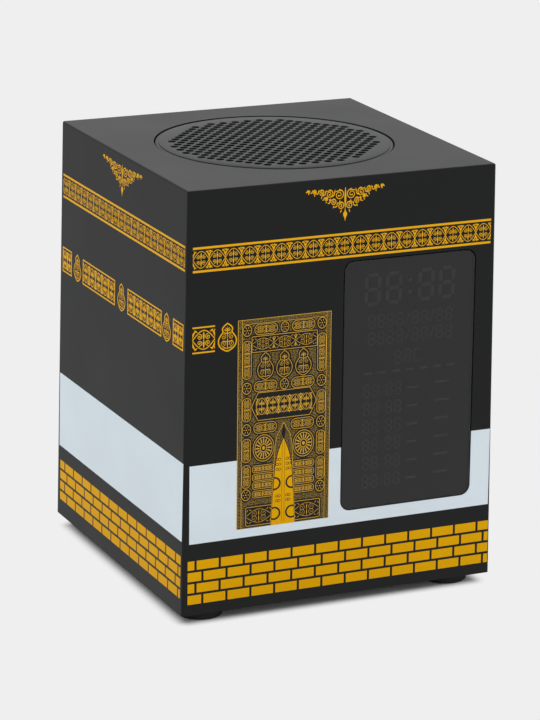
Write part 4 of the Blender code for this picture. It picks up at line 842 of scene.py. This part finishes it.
crest_reach, crest_rise, crest_half_height = 11.6, 5.8, 4.7
crest_half = [(1, 0), (0.93, 0.42), (0.8, 1), (-0.8, 1), (-0.93, 0.42)]
crest = [(u * crest_reach, crest_rise + v * crest_half_height)
         for u, v in [*crest_half, *((-u, -v) for u, v in crest_half)]]
crest_filling = curtain_gold.blank()
running_scroll(crest_filling, -10.0, 10.0, crest_rise, 7.0, 4.0, 0.2)
field(curtain_gold.outlined(crest), crest_filling)

# The hanging parts over a plain gold leaf, with two ring handles and rows of small marks.
flame = [(0, -6.0), (0.95, -8.0), (1.95, -10.8), (2.5, -13.2), (2.95, -15.8), (3.3, -20.9), (3.7, -26),
         (4.2, -35.6)]
arch = [(0, -0.4), (1.1, -2.6), (2.3, -4.6), (2.9, -7.4), (3.2, -10.2), (3.3, -13.4), (3.5, -17),
        (4.4, -35.6)]
flame, arch = ([*half, *((-u, v) for u, v in half[:0:-1])] for half in (flame, arch))
arch_shape = curtain_gold.outlined(arch)
for screen in (curtain_gold, curtain_black):
    screen.clear(arch_shape)
curtain_gold.add(np.abs(arch_shape) - 0.08)
leaf(curtain_black, 0, -6.2, math.pi / 2, 5.0, 1.3)
curtain_flame = curtain_gold.blank()
curtain_flame.add(curtain_flame.outlined(flame))
curtain_black.add(curtain_flame.field - 0.25)
flame_marks = curtain_gold.blank()
for side in (-1, 1):
    flame_marks.add(flame_marks.box(side * 0.45, -21, 0.12, 28))
    for height in (-13.1, -14.8, -16.5, -25.7, -27.3):
        for across in (1.35, 2.25):
            flame_marks.add(np.abs(flame_marks.disc(side * across, height, 0.42)) - 0.09)
    for height in (-21.3, -31.6):
        flame_marks.add(np.abs(flame_marks.disc(side * 3.15, height, 2.0)) - 0.3)
curtain_flame.clear(flame_marks.field)
curtain_edge = curtain_gold.box(0, 0, wide_mm, tall_mm)
for screen in (curtain_gold, curtain_black, curtain_flame):
    screen.clear(-curtain_edge)

curtain_ground_ink = stitched_gold("halftone_gold_ink", "#a2843a", "#1b1a17", 0.36)
curtain_black_ink = moulded("screen_printed_black_ink", "#141414", 0.5, 0.22, 0.35, 0.012)
thread_gold_ink = moulded("screen_printed_pale_gold_ink", "#d6a636", 0.5, 0.1, 0.35, 0.012)
ground_outline = [(u * curtain_width / 2, v * curtain_height / 2)
                  for u, v in ((1, 1), (-1, 1), (-1, -1), (1, -1))]
layer_rise = 0.5
for layer, (kind, loops, ink) in enumerate((("ground", [ground_outline], curtain_ground_ink),
                                            ("black", curtain_black.outlines(), curtain_black_ink),
                                            ("thread", curtain_gold.outlines(), thread_gold_ink),
                                            ("flame", curtain_flame.outlines(), brick_gold))):
    film = ink_film(f"curtain_{kind}", loops, ink_thickness * (1 + layer_rise * layer))
    printed(f"curtain_{kind}", film, ink, 0, *curtain_middle_mm)

# Display: a smoked acrylic window, cut and flame-polished, glued into its recess. It is nearly
# black and reflects the room softly, and unlit digits show faintly through the smoke.
lens_thickness, lens_proud, lens_rounding = 0.0016, 0.0002, 0.00035
digit_slant = 0.015


def rounded_plate(shape, low, high, rounding, place=Matrix(), steps=4):
    """A plate with its upper edge rounded. shape(inset) gives the outline at that inset."""
    mesh = bmesh.new()
    levels = [(0, low)] + [(rounding * (1 - math.cos(math.pi / 2 * step / steps)),
                            high - rounding * (1 - math.sin(math.pi / 2 * step / steps)))
                           for step in range(steps + 1)]
    return stacked(mesh, [[mesh.verts.new(place @ Vector((u, v, height))) for u, v in shape(inset)]
                          for inset, height in levels])


def smoked_acrylic(name, shade, roughness, share):
    """Tinted acrylic sheet: glossy, with the faint ripple of an extruded sheet, about 17 mm long."""
    surface, tree, shader = new_surface(name)
    shader.inputs["Base Color"].default_value = linear(shade)
    shader.inputs["IOR"].default_value = 1.49
    shader.inputs["Specular IOR Level"].default_value = 0.66
    shader.inputs["Alpha"].default_value = share
    place = add_node(tree, "ShaderNodeTexCoord")
    ripple = add_node(tree, "ShaderNodeTexNoise", inputs={
        "Vector": place.outputs["Object"], "Scale": 60.0, "Detail": 1.0})
    gloss = add_node(tree, "ShaderNodeMapRange", inputs={
        "Value": ripple.outputs[0], "To Min": roughness * 0.8, "To Max": roughness * 1.2})
    relief = add_node(tree, "ShaderNodeBump", inputs={
        "Strength": 0.2, "Distance": 0.0001, "Height": ripple.outputs[0]})
    tree.links.new(gloss.outputs[0], shader.inputs["Roughness"])
    tree.links.new(relief.outputs[0], shader.inputs["Normal"])
    return surface


def lens_shape(inset):
    """Outline of the window."""
    return rounded(lens_width - 2 * inset, lens_height - 2 * inset, lens_corner - inset)


lens_place = front @ Matrix.Translation((*lens_centre, 0))
smoked = smoked_acrylic("smoked_acrylic_sheet", "#0a0a0b", 0.12, 0.66)
window = rounded_plate(lens_shape, lens_proud - lens_thickness, lens_proud, lens_rounding)
piece("display_window", window, smoked, "case", ["display_lens"], lens_place)

# Display mask: the window's back is printed matt black but for the segments of the digits and
# of the rows between them. Their pale resin shows there as a faint grey while it is unlit.
segment_share = 0.115


def digit(screen, x, y, width, height):
    """All seven segments of one digit."""
    thick = height * segment_share
    gap = thick * 0.16
    tip, shoulder = thick * 0.35 + gap, thick * 0.8 + gap
    half_width, half_height = width / 2 - thick / 2, height / 2 - thick / 2
    corners = [(side * half_width, up * half_height) for up in (1, 0, -1) for side in (-1, 1)]
    for start, end in ((0, 1), (2, 3), (4, 5), (0, 2), (1, 3), (2, 4), (3, 5)):
        (u0, v0), (u1, v1) = corners[start], corners[end]
        reach = max(abs(u1 - u0), abs(v1 - v0))
        ends = [(u0 + (u1 - u0) * cut / reach, v0 + (v1 - v0) * cut / reach)
                for cut in (tip, shoulder, reach - shoulder, reach - tip)]
        screen.stroke([(x + u + v * digit_slant, y + v) for u, v in ends],
                      [thick * 0.3, thick, thick, thick * 0.3])


def readout(screen, left, right, y, height, signs):
    """A row of digits and of the marks between them, spread between two ends."""
    spaces = {"8": 1.0, ":": 0.55, "/": 0.6, "C": 0.95}
    pitch = (right - left) / sum(spaces[sign] for sign in signs)
    x = left
    for sign in signs:
        middle = x + pitch * spaces[sign] / 2
        if sign == "8":
            digit(screen, middle, y, min(pitch * 0.78, height * 0.62), height)
        elif sign == ":":
            for rise in (-0.18, 0.18):
                screen.add(screen.disc(middle + rise * height * digit_slant, y + rise * height,
                                       height * 0.06))
        elif sign == "/":
            screen.stroke([(middle + end * height * 0.14, y + end * height * 0.42) for end in (-1, 1)],
                          [height * 0.1] * 2)
        else:
            screen.stroke([(middle + u * height, y + v * height) for u, v in
                           ((0.2, 0.42), (-0.16, 0.42), (-0.2, -0.42), (0.16, -0.42))], [height * 0.1] * 4)
        x += pitch * spaces[sign]


segments = PrintScreen(42, 80, 0.06)
readout(segments, -16.7, 18.3, 31.9, 11.2, "88:88")
readout(segments, -14.8, 17.2, 20.9, 4.7, "8888/88/88")
readout(segments, -14.8, 17.2, 15.2, 4.7, "8888/88/88")
readout(segments, -4.9, 5.5, 8.0, 4.8, "88C")
for day in range(7):
    segments.add(segments.box(-14.0 + 5.1 * day, 3.3, 3.0, 0.9, 0.4))
for row in range(6):
    height = -2.7 - 6.3 * row
    readout(segments, -16.1, -1.2, height, 4.7, "88:88")
    for across, width, rise in ((2.6, 4.0, -0.4), (13.6, 5.4, 0.4)):
        segments.add(segments.box(across, height + rise, width, 0.8, 0.35))


def flat_colour(name, shade, dark_shade, roughness, grain_mm):
    """A thin printed or moulded layer with a slight mottle."""
    surface = moulded(name, shade, roughness, 0.3, grain_mm, 0.01)
    tree = surface.node_tree
    tint = next(node for node in tree.nodes if node.bl_idname == "ShaderNodeMix")
    tint.inputs[7].default_value = linear(dark_shade)
    return surface


mask_gap = 0.00012
mask_depth = lens_proud - lens_thickness - mask_gap
mask_black = flat_colour("matt_black_mask_print", "#060606", "#0a0a0a", 0.6, 0.4)
unlit_segment = flat_colour("unlit_segment_resin", "#e4e6ee", "#d2d4dc", 0.6, 0.4)
piece("display_mask", slab(lens_shape(2 * lens_proud), mask_depth - ink_thickness, mask_depth), mask_black,
      "case", place=lens_place)
piece("display_segments", ink_film("display_segments", segments.outlines()), unlit_segment, "case",
      place=lens_place @ Matrix.Translation((0, 0, mask_depth + ink_thickness)))

# Grille: a round plate of the same black ABS, moulded with its holes, that drops into the roof
# and is bonded there. Its edge is a narrow step a little lower than the field, where round
# holes stand in staggered rows.
hole_diameter, hole_pitch, row_pitch, hole_field = 0.00275, 0.0046, 0.0025, 0.0727
hole_chamfer, grille_rounding = 0.00012, 0.0004
rim_width, rim_drop, rim_curve = 0.0011, 0.00025, 0.00012
hole_sides, grille_sides, rim_steps = 18, 160, 5
hole_rows = int(hole_field / 2 / row_pitch)
hole_places = []
for row in range(-hole_rows, hole_rows + 1):
    for column in range(-9, 10):
        u, v = (column + (row % 2 == 0) / 2) * hole_pitch, row * row_pitch
        if math.hypot(u, v) <= hole_field / 2 - hole_diameter / 2:
            hole_places.append((u, v))


def pierced_plate(diameter, low, high, rounding, holes, hole, chamfer):
    """A round plate with its upper edge rounded and chamfered holes through it."""
    angles = [math.pi / 2 * step / rim_steps for step in range(rim_steps + 1)]
    rims = [(rounding * (1 - math.cos(angle)), rim_drop + rounding * (1 - math.sin(angle)))
            for angle in angles]
    rims += [(rim_width, rim_drop), (rim_width + rim_curve / 3, rim_curve / 3), (rim_width + rim_curve, 0)]
    levels = [low] + [high - drop for _, drop in rims]
    insets = [0] + [inset for inset, _ in rims]
    bores = [(low, 0), (high - chamfer, 0), (high, chamfer)]
    outer = [round_outline(diameter - 2 * inset, grille_sides) for inset in insets]
    inner = [[round_outline(hole + 2 * spread, hole_sides, place) for place in holes]
             for _, spread in bores]
    flat = [Vector(point) * 1000 for loop in [outer[-1], *inner[-1]] for point in loop]
    starts = [0] + [grille_sides + hole_sides * index for index in range(len(holes))]
    loops = [list(range(grille_sides))]
    loops += [list(range(start, start + hole_sides))[::-1] for start in starts[1:]]
    _, _, cover, _, _, inside = delaunay_2d_cdt(flat, [], loops, 1, 1e-6)
    cover = [tuple(face) for face, owners in zip(cover, inside) if len(owners) % 2]
    points, faces = [], []

    def lay(loops_at, height):
        """Adds rings of points at one height, and gives the number of the first point."""
        start = len(points)
        points.extend((u, v, height) for loop in loops_at for u, v in loop)
        return start

    top = lay([outer[-1], *inner[-1]], high)
    bottom = lay([outer[0], *inner[0]], low)
    faces += [tuple(index + top for index in face) for face in cover]
    faces += [tuple(index + bottom for index in face[::-1]) for face in cover]

    def skirt(rings, count, turn):
        """Bands of faces down a stack of rings, facing out or in."""
        for lower, upper in zip(rings, rings[1:]):
            for index in range(count):
                after = (index + 1) % count
                quad = (lower + index, lower + after, upper + after, upper + index)
                faces.append(quad if turn else quad[::-1])

    skirt([bottom] + [lay([loop], height) for loop, height in zip(outer[1:-1], levels[1:-1])] + [top],
          grille_sides, True)
    for index, start in enumerate(starts[1:]):
        middle_ring = lay([inner[1][index]], bores[1][0])
        skirt([bottom + start, middle_ring, top + start], hole_sides, False)
    data = bpy.data.meshes.new("pierced_plate")
    data.from_pydata(points, [], faces)
    data.shade_smooth()
    data.set_sharp_from_angle(angle=math.radians(35))
    return data


grille_top = case_high.z
grille_abs = moulded("moulded_grille_abs", "#181a1b", 0.5, 0.24, 0.35, 0.012)
cover = pierced_plate(grille_diameter, grille_top - grille_thickness, grille_top, grille_rounding,
                      hole_places, hole_diameter, hole_chamfer)
piece("speaker_cover", cover, grille_abs, "case", ["speaker_grille"])


# Grille cloth: black acoustic mesh, warp-knitted polyester stretched under the holes. It shows
# as a dull dark grey at the bottom of each hole.
def woven(name, shade, dark_shade, thread_mm):
    """Crossing threads or fibres, with painted light where they lie on top and painted shade in the gaps."""
    surface = moulded(name, shade, 0.9, 0.1, thread_mm, 0.02)
    tree = surface.node_tree
    shader = tree.nodes["Principled BSDF"]
    place = add_node(tree, "ShaderNodeTexCoord")
    threads = [add_node(tree, "ShaderNodeTexWave", {"bands_direction": direction},
                        {"Vector": place.outputs["Object"], "Scale": math.pi * 10 / thread_mm})
               for direction in ("X", "Y")]
    # Where both waves are high the threads lie on top: the mix below paints them lighter there, and paints
    # shade into the gaps.
    cross = add_node(tree, "ShaderNodeMath", {"operation": "MULTIPLY"}, {
        0: threads[0].outputs["Fac"], 1: threads[1].outputs["Fac"]})
    tint = add_node(tree, "ShaderNodeMix", {"data_type": "RGBA"}, {
        0: cross.outputs[0], 6: linear(dark_shade), 7: linear(shade)})
    relief = add_node(tree, "ShaderNodeBump", inputs={
        "Strength": 0.6, "Distance": 0.0001, "Height": cross.outputs[0]})
    tree.links.new(tint.outputs[2], shader.inputs["Base Color"])
    tree.links.new(relief.outputs[0], shader.inputs["Normal"])
    return surface


def refinish(node, surface):
    """Gives a carried-over CAD piece its finish."""
    bpy.data.objects[node].data.materials.clear()
    bpy.data.objects[node].data.materials.append(surface)


refinish("grille_cloth", woven("knitted_acoustic_cloth", "#4a4d50", "#26282a", 0.5))

# Feet: four soft moulded rubber feet, domed discs pressed into seats of the bottom plate,
# each with a shallow dimple in its sole. Bare rubber is more matt than the case.
foot_profile_mm = ((0, 0.5), (4.2, 0.5), (4.7, 0.12), (5.0, 0), (6.9, 0), (7.35, 0.15), (7.65, 0.5),
                   (7.83, 1.1), (7.9, 1.9), (7.9, 4.3))


def lathe(profile, sides=64):
    """Turns a profile of (radius, height) about the upright axis, closed at its two ends."""
    mesh = bmesh.new()
    rings = []
    for radius, height in profile:
        if radius:
            rings.append([mesh.verts.new((radius * math.cos(math.tau * side / sides),
                                          radius * math.sin(math.tau * side / sides), height))
                          for side in range(sides)])
        else:
            rings.append([mesh.verts.new((0, 0, height))])
    for lower, upper in zip(rings, rings[1:]):
        for side in range(sides):
            after = (side + 1) % sides
            corners = [lower[side % len(lower)], lower[after % len(lower)], upper[after % len(upper)],
                       upper[side % len(upper)]]
            mesh.faces.new(list(dict.fromkeys(corners)))
    for ring in (rings[0], rings[-1]):
        if len(ring) > 1:
            mesh.faces.new(ring)
    return mesh


foot_rubber = moulded("moulded_foot_rubber", "#1c1c1c", 0.7, 0.25, 0.25, 0.02)
for corner in ("front_left", "front_right", "rear_left", "rear_right"):
    low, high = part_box(f"foot_{corner}")
    profile = [(radius / 1000, height / 1000) for radius, height in foot_profile_mm]
    profile.append((profile[-1][0], high.z))
    piece(f"rubber_foot_{corner}", lathe(profile), foot_rubber, "case", [f"foot_{corner}"],
          Matrix.Translation(((low.x + high.x) / 2, (low.y + high.y) / 2, 0)), 50)

# Base plate: a flat moulded plate that closes the case from below, held by four screws that
# run up into posts of the shell. Same black ABS as the shell, polished a little smoother.
base_abs = moulded("moulded_base_abs", "#151616", 0.45, 0.24, 0.5, 0.01)
refinish("bottom_plate", base_abs)


def plated(name, shade, roughness, metallic=1.0):
    """Plated, bare or painted metal: even, with clouds about 3 mm wide in its shade and its gloss."""
    surface, tree, shader = new_surface(name)
    shader.inputs["Metallic"].default_value = metallic
    place = add_node(tree, "ShaderNodeTexCoord")
    clouds = add_node(tree, "ShaderNodeTexNoise", inputs={
        "Vector": place.outputs["Object"], "Scale": 350.0, "Detail": 4.0})
    tint = add_node(tree, "ShaderNodeMix", {"data_type": "RGBA"}, {
        0: clouds.outputs[0], 6: linear(shade), 7: [*(0.8 * c for c in linear(shade)[:3]), 1.0]})
    gloss = add_node(tree, "ShaderNodeMapRange", inputs={
        "Value": clouds.outputs[0], "To Min": roughness - 0.08, "To Max": roughness + 0.08})
    tree.links.new(tint.outputs[2], shader.inputs["Base Color"])
    tree.links.new(gloss.outputs[0], shader.inputs["Roughness"])
    return surface


# The screws are zinc-plated steel, which gives a bluish white metal with a soft gloss.
zinc_steel = plated("zinc_plated_steel", "#c4c8cc", 0.35)
for number in range(1, 5):
    refinish(f"bottom_screw_{number}", zinc_steel)

# Control panel: a moulded plate let into the back, screwed at both ends. Five round keys, a
# slide switch and a charging socket come through it, with white signs printed beside them.
panel_thickness, panel_recess, panel_rounding = 0.0018, 0.0002, 0.0003
key_diameter, key_gap, key_pitch, key_row, lower_row = 0.0074, 0.00025, 0.0115, 0.0475, 0.035
key_names = ("volume_down", "previous", "play_mode", "next", "volume_up")
switch_across, socket_across = -0.01512, 0.01512
knob_width, knob_height, switch_travel = 0.0034, 0.0024, 0.003
socket_width, socket_height = 0.009, 0.0033
panel_screw_across, panel_screw_head, panel_screw_sink = 0.03475, 0.0032, 0.0014
knob_slot_corner, socket_hole_trim = 0.0006, 0.00001


def panel_shape(inset):
    """Outline of the control panel."""
    return rounded(panel_width - 2 * inset, panel_height - 2 * inset, panel_corner - inset, panel_centre)


panel_abs = moulded("moulded_panel_abs", "#1b1c1d", 0.42, 0.28, 0.3, 0.01)
plate = rounded_plate(panel_shape, -panel_recess - panel_thickness, -panel_recess, panel_rounding, back)
panel = piece("control_panel", plate, panel_abs, "case", ["rear_panel"])
panel_through = (-2 * panel_thickness, panel_thickness)
key_places = {name: (key_pitch * (index - 2), key_row) for index, name in enumerate(key_names)}
panel_openings = [slab(round_outline(key_diameter + 2 * key_gap, 48, place), *panel_through, back)
                  for place in key_places.values()]
panel_openings += [
    slab(rounded(knob_width + switch_travel + 2 * key_gap, knob_height + 2 * key_gap, knob_slot_corner,
                 (switch_across, lower_row)), *panel_through, back),
    slab(rounded(socket_width + 2 * seat_gap, socket_height + 2 * seat_gap,
                 socket_height / 2 + seat_gap - socket_hole_trim, (socket_across, lower_row)),
         *panel_through, back)]
for side in (-1, 1):
    head_place = (side * panel_screw_across, panel_centre[1])
    panel_openings += [
        slab(round_outline(panel_screw_head + 2 * seat_gap, 32, head_place), -panel_screw_sink,
             panel_thickness, back),
        slab(round_outline(panel_screw_head * 0.6, 24, head_place), *panel_through, back)]
pierce(panel, panel_openings)
for number in (1, 2):
    refinish(f"rear_panel_screw_{number}", zinc_steel)

# Keys: moulded in one colour a shade lighter than the panel, each a cap with a shallow dish
# for the finger, a flange that keeps it in and a stem that reaches its switch.
key_abs = moulded("moulded_key_abs", "#2a2b2d", 0.38, 0.3, 0.3, 0.008)
key_profile_mm = ((0, -7.7), (1.7, -7.7), (1.7, -3.2), (4.6, -3.2), (4.6, -2.3), (3.7, -2.3),
                  (3.7, 0.12), (3.66, 0.28), (3.55, 0.4), (3.38, 0.47), (3.15, 0.5), (2.6, 0.46),
                  (1.6, 0.38), (0, 0.34))
for name, place in key_places.items():
    key = lathe([(radius / 1000, height / 1000) for radius, height in key_profile_mm], 48)
    piece(f"key_cap_{name}", key, key_abs, f"key_{name}", [f"key_{name}"],
          back @ Matrix.Translation((*place, 0)))

# Signs: a minus, arrows and a plus under the keys, and marks beside the switch and the socket.
# They are printed on the panel in the same white ink as the pale course.
signs = PrintScreen(62, 16, 0.05)
sign_rise, sign_size, sign_line = 1.2, 1.0, 0.3
sign_height, lower_sign_rise, switch_sign_gap, bolt_gap = 0.0402, -5.2, 5.3, 7.2
for name, (across, _) in key_places.items():
    x = across * 1000
    arrows = {"previous": (-1, -1), "next": (1, 1), "play_mode": (1,)}.get(name, ())
    if not arrows:
        signs.stroke([(x - sign_size, sign_rise), (x + sign_size, sign_rise)], [sign_line] * 2)
        if name == "volume_up":
            signs.stroke([(x, sign_rise - sign_size), (x, sign_rise + sign_size)], [sign_line] * 2)
    for index, hand in enumerate(arrows):
        tip = x + hand * sign_size * (1 + index - 0.5 * len(arrows))
        signs.add(signs.outlined([(tip, sign_rise), (tip - hand * sign_size, sign_rise + 0.6 * sign_size),
                                  (tip - hand * sign_size, sign_rise - 0.6 * sign_size)]))
    if len(arrows) == 2:
        bar = x + arrows[0] * sign_size * 1.25
        signs.stroke([(bar, sign_rise - 0.55), (bar, sign_rise + 0.55)], [0.25, 0.25])
    elif arrows:
        for bar in (x + 0.9, x + 1.5):
            signs.stroke([(bar, sign_rise - 0.5), (bar, sign_rise + 0.5)], [0.25, 0.25])
switch_x = switch_across * 1000
signs.stroke([(switch_x - switch_sign_gap, lower_sign_rise + end * 0.7) for end in (-1, 1)], [sign_line] * 2)
signs.add(np.abs(signs.disc(switch_x + switch_sign_gap, lower_sign_rise, 0.6)) - 0.13)
bolt_x = socket_across * 1000 + bolt_gap
bolt = ((0.1, 1.1), (-0.6, -0.15), (-0.05, -0.15), (-0.2, -1.1), (0.6, 0.25), (0.05, 0.25))
signs.add(signs.outlined([(bolt_x + u, lower_sign_rise + v) for u, v in bolt]))
piece("panel_signs", ink_film("panel_signs", signs.outlines()), white_ink, "case",
      place=back @ Matrix.Translation((0, sign_height, -panel_recess)))

# Slide switch: a ribbed nylon knob on a wider shoe that keeps it in its slot, over a tinned
# steel body on the main board.
knob_rest = switch_across - switch_travel / 2
knob_base, knob_top, shoe_low, shoe_high, shoe_reach = -0.0099, -0.0007, -0.0033, -0.0023, 0.002
rib_width, rib_pitch, rib_overlap = 0.0004, 0.0008, 0.0001
knob_parts = [(rounded(knob_width, knob_height, 0.0003), knob_base, knob_top)]
knob_parts += [(rounded(rib_width, knob_height * 0.92, 0.00015, (rib * rib_pitch, 0)),
                knob_top - rib_overlap, 0) for rib in (-1.5, -0.5, 0.5, 1.5)]
knob = slab(rounded(knob_width + shoe_reach, knob_height + shoe_reach, 0.0004), shoe_low, shoe_high)
for outline, low, high in knob_parts:
    part = slab(outline, low, high)
    part_mesh = bpy.data.meshes.new("knob_part")
    part.to_mesh(part_mesh)
    part.free()
    knob.from_mesh(part_mesh)
    bpy.data.meshes.remove(part_mesh)
switch_nylon = moulded("moulded_switch_nylon", "#202123", 0.5, 0.3, 0.3, 0.008)
piece("switch_knob", knob, switch_nylon, "power_switch", ["power_switch_knob"],
      back @ Matrix.Translation((knob_rest, lower_row, 0)))
refinish("power_switch_body", plated("tinned_steel", "#b9bcbe", 0.4))

# Charging socket: a drawn shell of nickel-plated steel round a black tongue with gold-plated
# contacts on both faces.
refinish("charging_socket", plated("nickel_plated_steel", "#b8b3a8", 0.25))
tongue_width, tongue_thickness, tongue_back, tongue_tip = 0.0067, 0.0007, -0.0064, -0.0011
tongue_skin, tongue_corner = 0.0001, 0.00015
contact_count, contact_width, contact_length = 12, 0.00026, 0.0042
contact_depth, contact_skin = -0.0034, 0.00016
tongue_black = moulded("moulded_tongue_plastic", "#0d0d0e", 0.4, 0.3, 0.3, 0.005)
contact_gold = plated("gold_plated_contacts", "#d9b25a", 0.25)
tongue_place = back @ Matrix.Translation((socket_across, lower_row, -panel_recess))
tongue = slab(rounded(tongue_width + tongue_skin, tongue_thickness + tongue_skin, tongue_corner),
              tongue_back, tongue_tip)
piece("socket_tongue", tongue, tongue_black, "case", place=tongue_place)
contacts = bmesh.new()
contact_size = Matrix.Diagonal((contact_width, tongue_thickness + contact_skin, contact_length, 1))
for number in range(contact_count):
    across = (number - (contact_count - 1) / 2) * tongue_width / (contact_count + 1)
    bmesh.ops.create_cube(contacts, size=1,
                          matrix=Matrix.Translation((across, 0, contact_depth)) @ contact_size)
piece("socket_contacts", contacts, contact_gold, "case", place=tongue_place)

# Speaker: a 78 mm full-range driver screwed up under the roof, with a pressed steel basket, a
# felted paper cone in a rubber surround, and a ferrite magnet between its steel plates.
refinish("speaker_basket", plated("black_painted_steel", "#1c1d1e", 0.45, 0.0))
refinish("speaker_cone", woven("felted_paper_cone", "#26262a", "#17171a", 0.8))
refinish("speaker_dust_cap", woven("felted_paper_cap", "#242428", "#18181b", 0.8))
refinish("speaker_surround", foot_rubber)
refinish("speaker_gasket", moulded("closed_cell_gasket_foam", "#1d1d1d", 0.95, 0.1, 0.6, 0.05))
refinish("speaker_magnet", moulded("sintered_ferrite", "#35353a", 0.6, 0.3, 0.4, 0.02))
refinish("voice_coil", plated("enamelled_copper_wire", "#b06a3c", 0.3))
for node in ("magnet_yoke", "magnet_front_plate", *(f"speaker_screw_{number}" for number in range(1, 5))):
    refinish(node, zinc_steel)

# Boards: glass-fibre laminate under green solder resist, with the copper tracks showing as
# paler lines. The display board stands behind the white reflector and its diffuser, the main
# board behind the keys, and a grey ribbon of wires, drawn with the same lines, joins the two.
track_pitch_mm = 1.27


def solder_resist(name, shade, track_shade):
    """Lacquer or sheathing over copper: an even gloss with paler lines a usual track pitch apart."""
    surface = moulded(name, shade, 0.35, 0.5, 0.8, 0.01)
    tree = surface.node_tree
    shader = tree.nodes["Principled BSDF"]
    place = add_node(tree, "ShaderNodeTexCoord")
    tracks = add_node(tree, "ShaderNodeTexBrick", inputs={
        "Vector": place.outputs["Object"], "Scale": 1000 / track_pitch_mm / 4, "Mortar Size": 0.06,
        "Color1": linear(shade), "Color2": linear(shade), "Mortar": linear(track_shade)})
    tree.links.new(tracks.outputs["Color"], shader.inputs["Base Color"])
    return surface


green_board = solder_resist("green_solder_resist", "#1d5a34", "#2f7a48")
for node in ("main_board", "display_board"):
    refinish(node, green_board)
for node in ("board_screw_1", "board_screw_2", *(f"display_screw_{number}" for number in range(1, 5))):
    refinish(node, zinc_steel)
refinish("sound_chip", moulded("moulded_chip_epoxy", "#18181a", 0.55, 0.3, 0.3, 0.01))
for name in key_names:
    refinish(f"key_switch_{name}", switch_nylon)
refinish("display_ribbon", solder_resist("grey_ribbon_cable", "#8f9396", "#6f7376"))
refinish("led_reflector", moulded("moulded_white_polycarbonate", "#e6e7e6", 0.4, 0.4, 0.4, 0.005))
refinish("display_diffuser", moulded("opal_acrylic_sheet", "#dfe1e0", 0.3, 0.4, 0.6, 0.005))
refinish("lens_adhesive", moulded("black_foam_tape", "#151515", 0.9, 0.1, 0.4, 0.03))

# Battery: one lithium cell in a glossy heat-shrunk sleeve, lying in a moulded cradle on the
# base plate. Its wires and the speaker's are in soft silicone, which gives them a dull red.
refinish("battery_cell", moulded("heat_shrunk_sleeve", "#2c5f9e", 0.3, 0.5, 1.2, 0.02))
refinish("battery_holder", base_abs)
for node in ("battery_lead", "speaker_lead"):
    refinish(node, moulded(f"silicone_{node}", "#a32420", 0.5, 0.3, 0.5, 0.01))
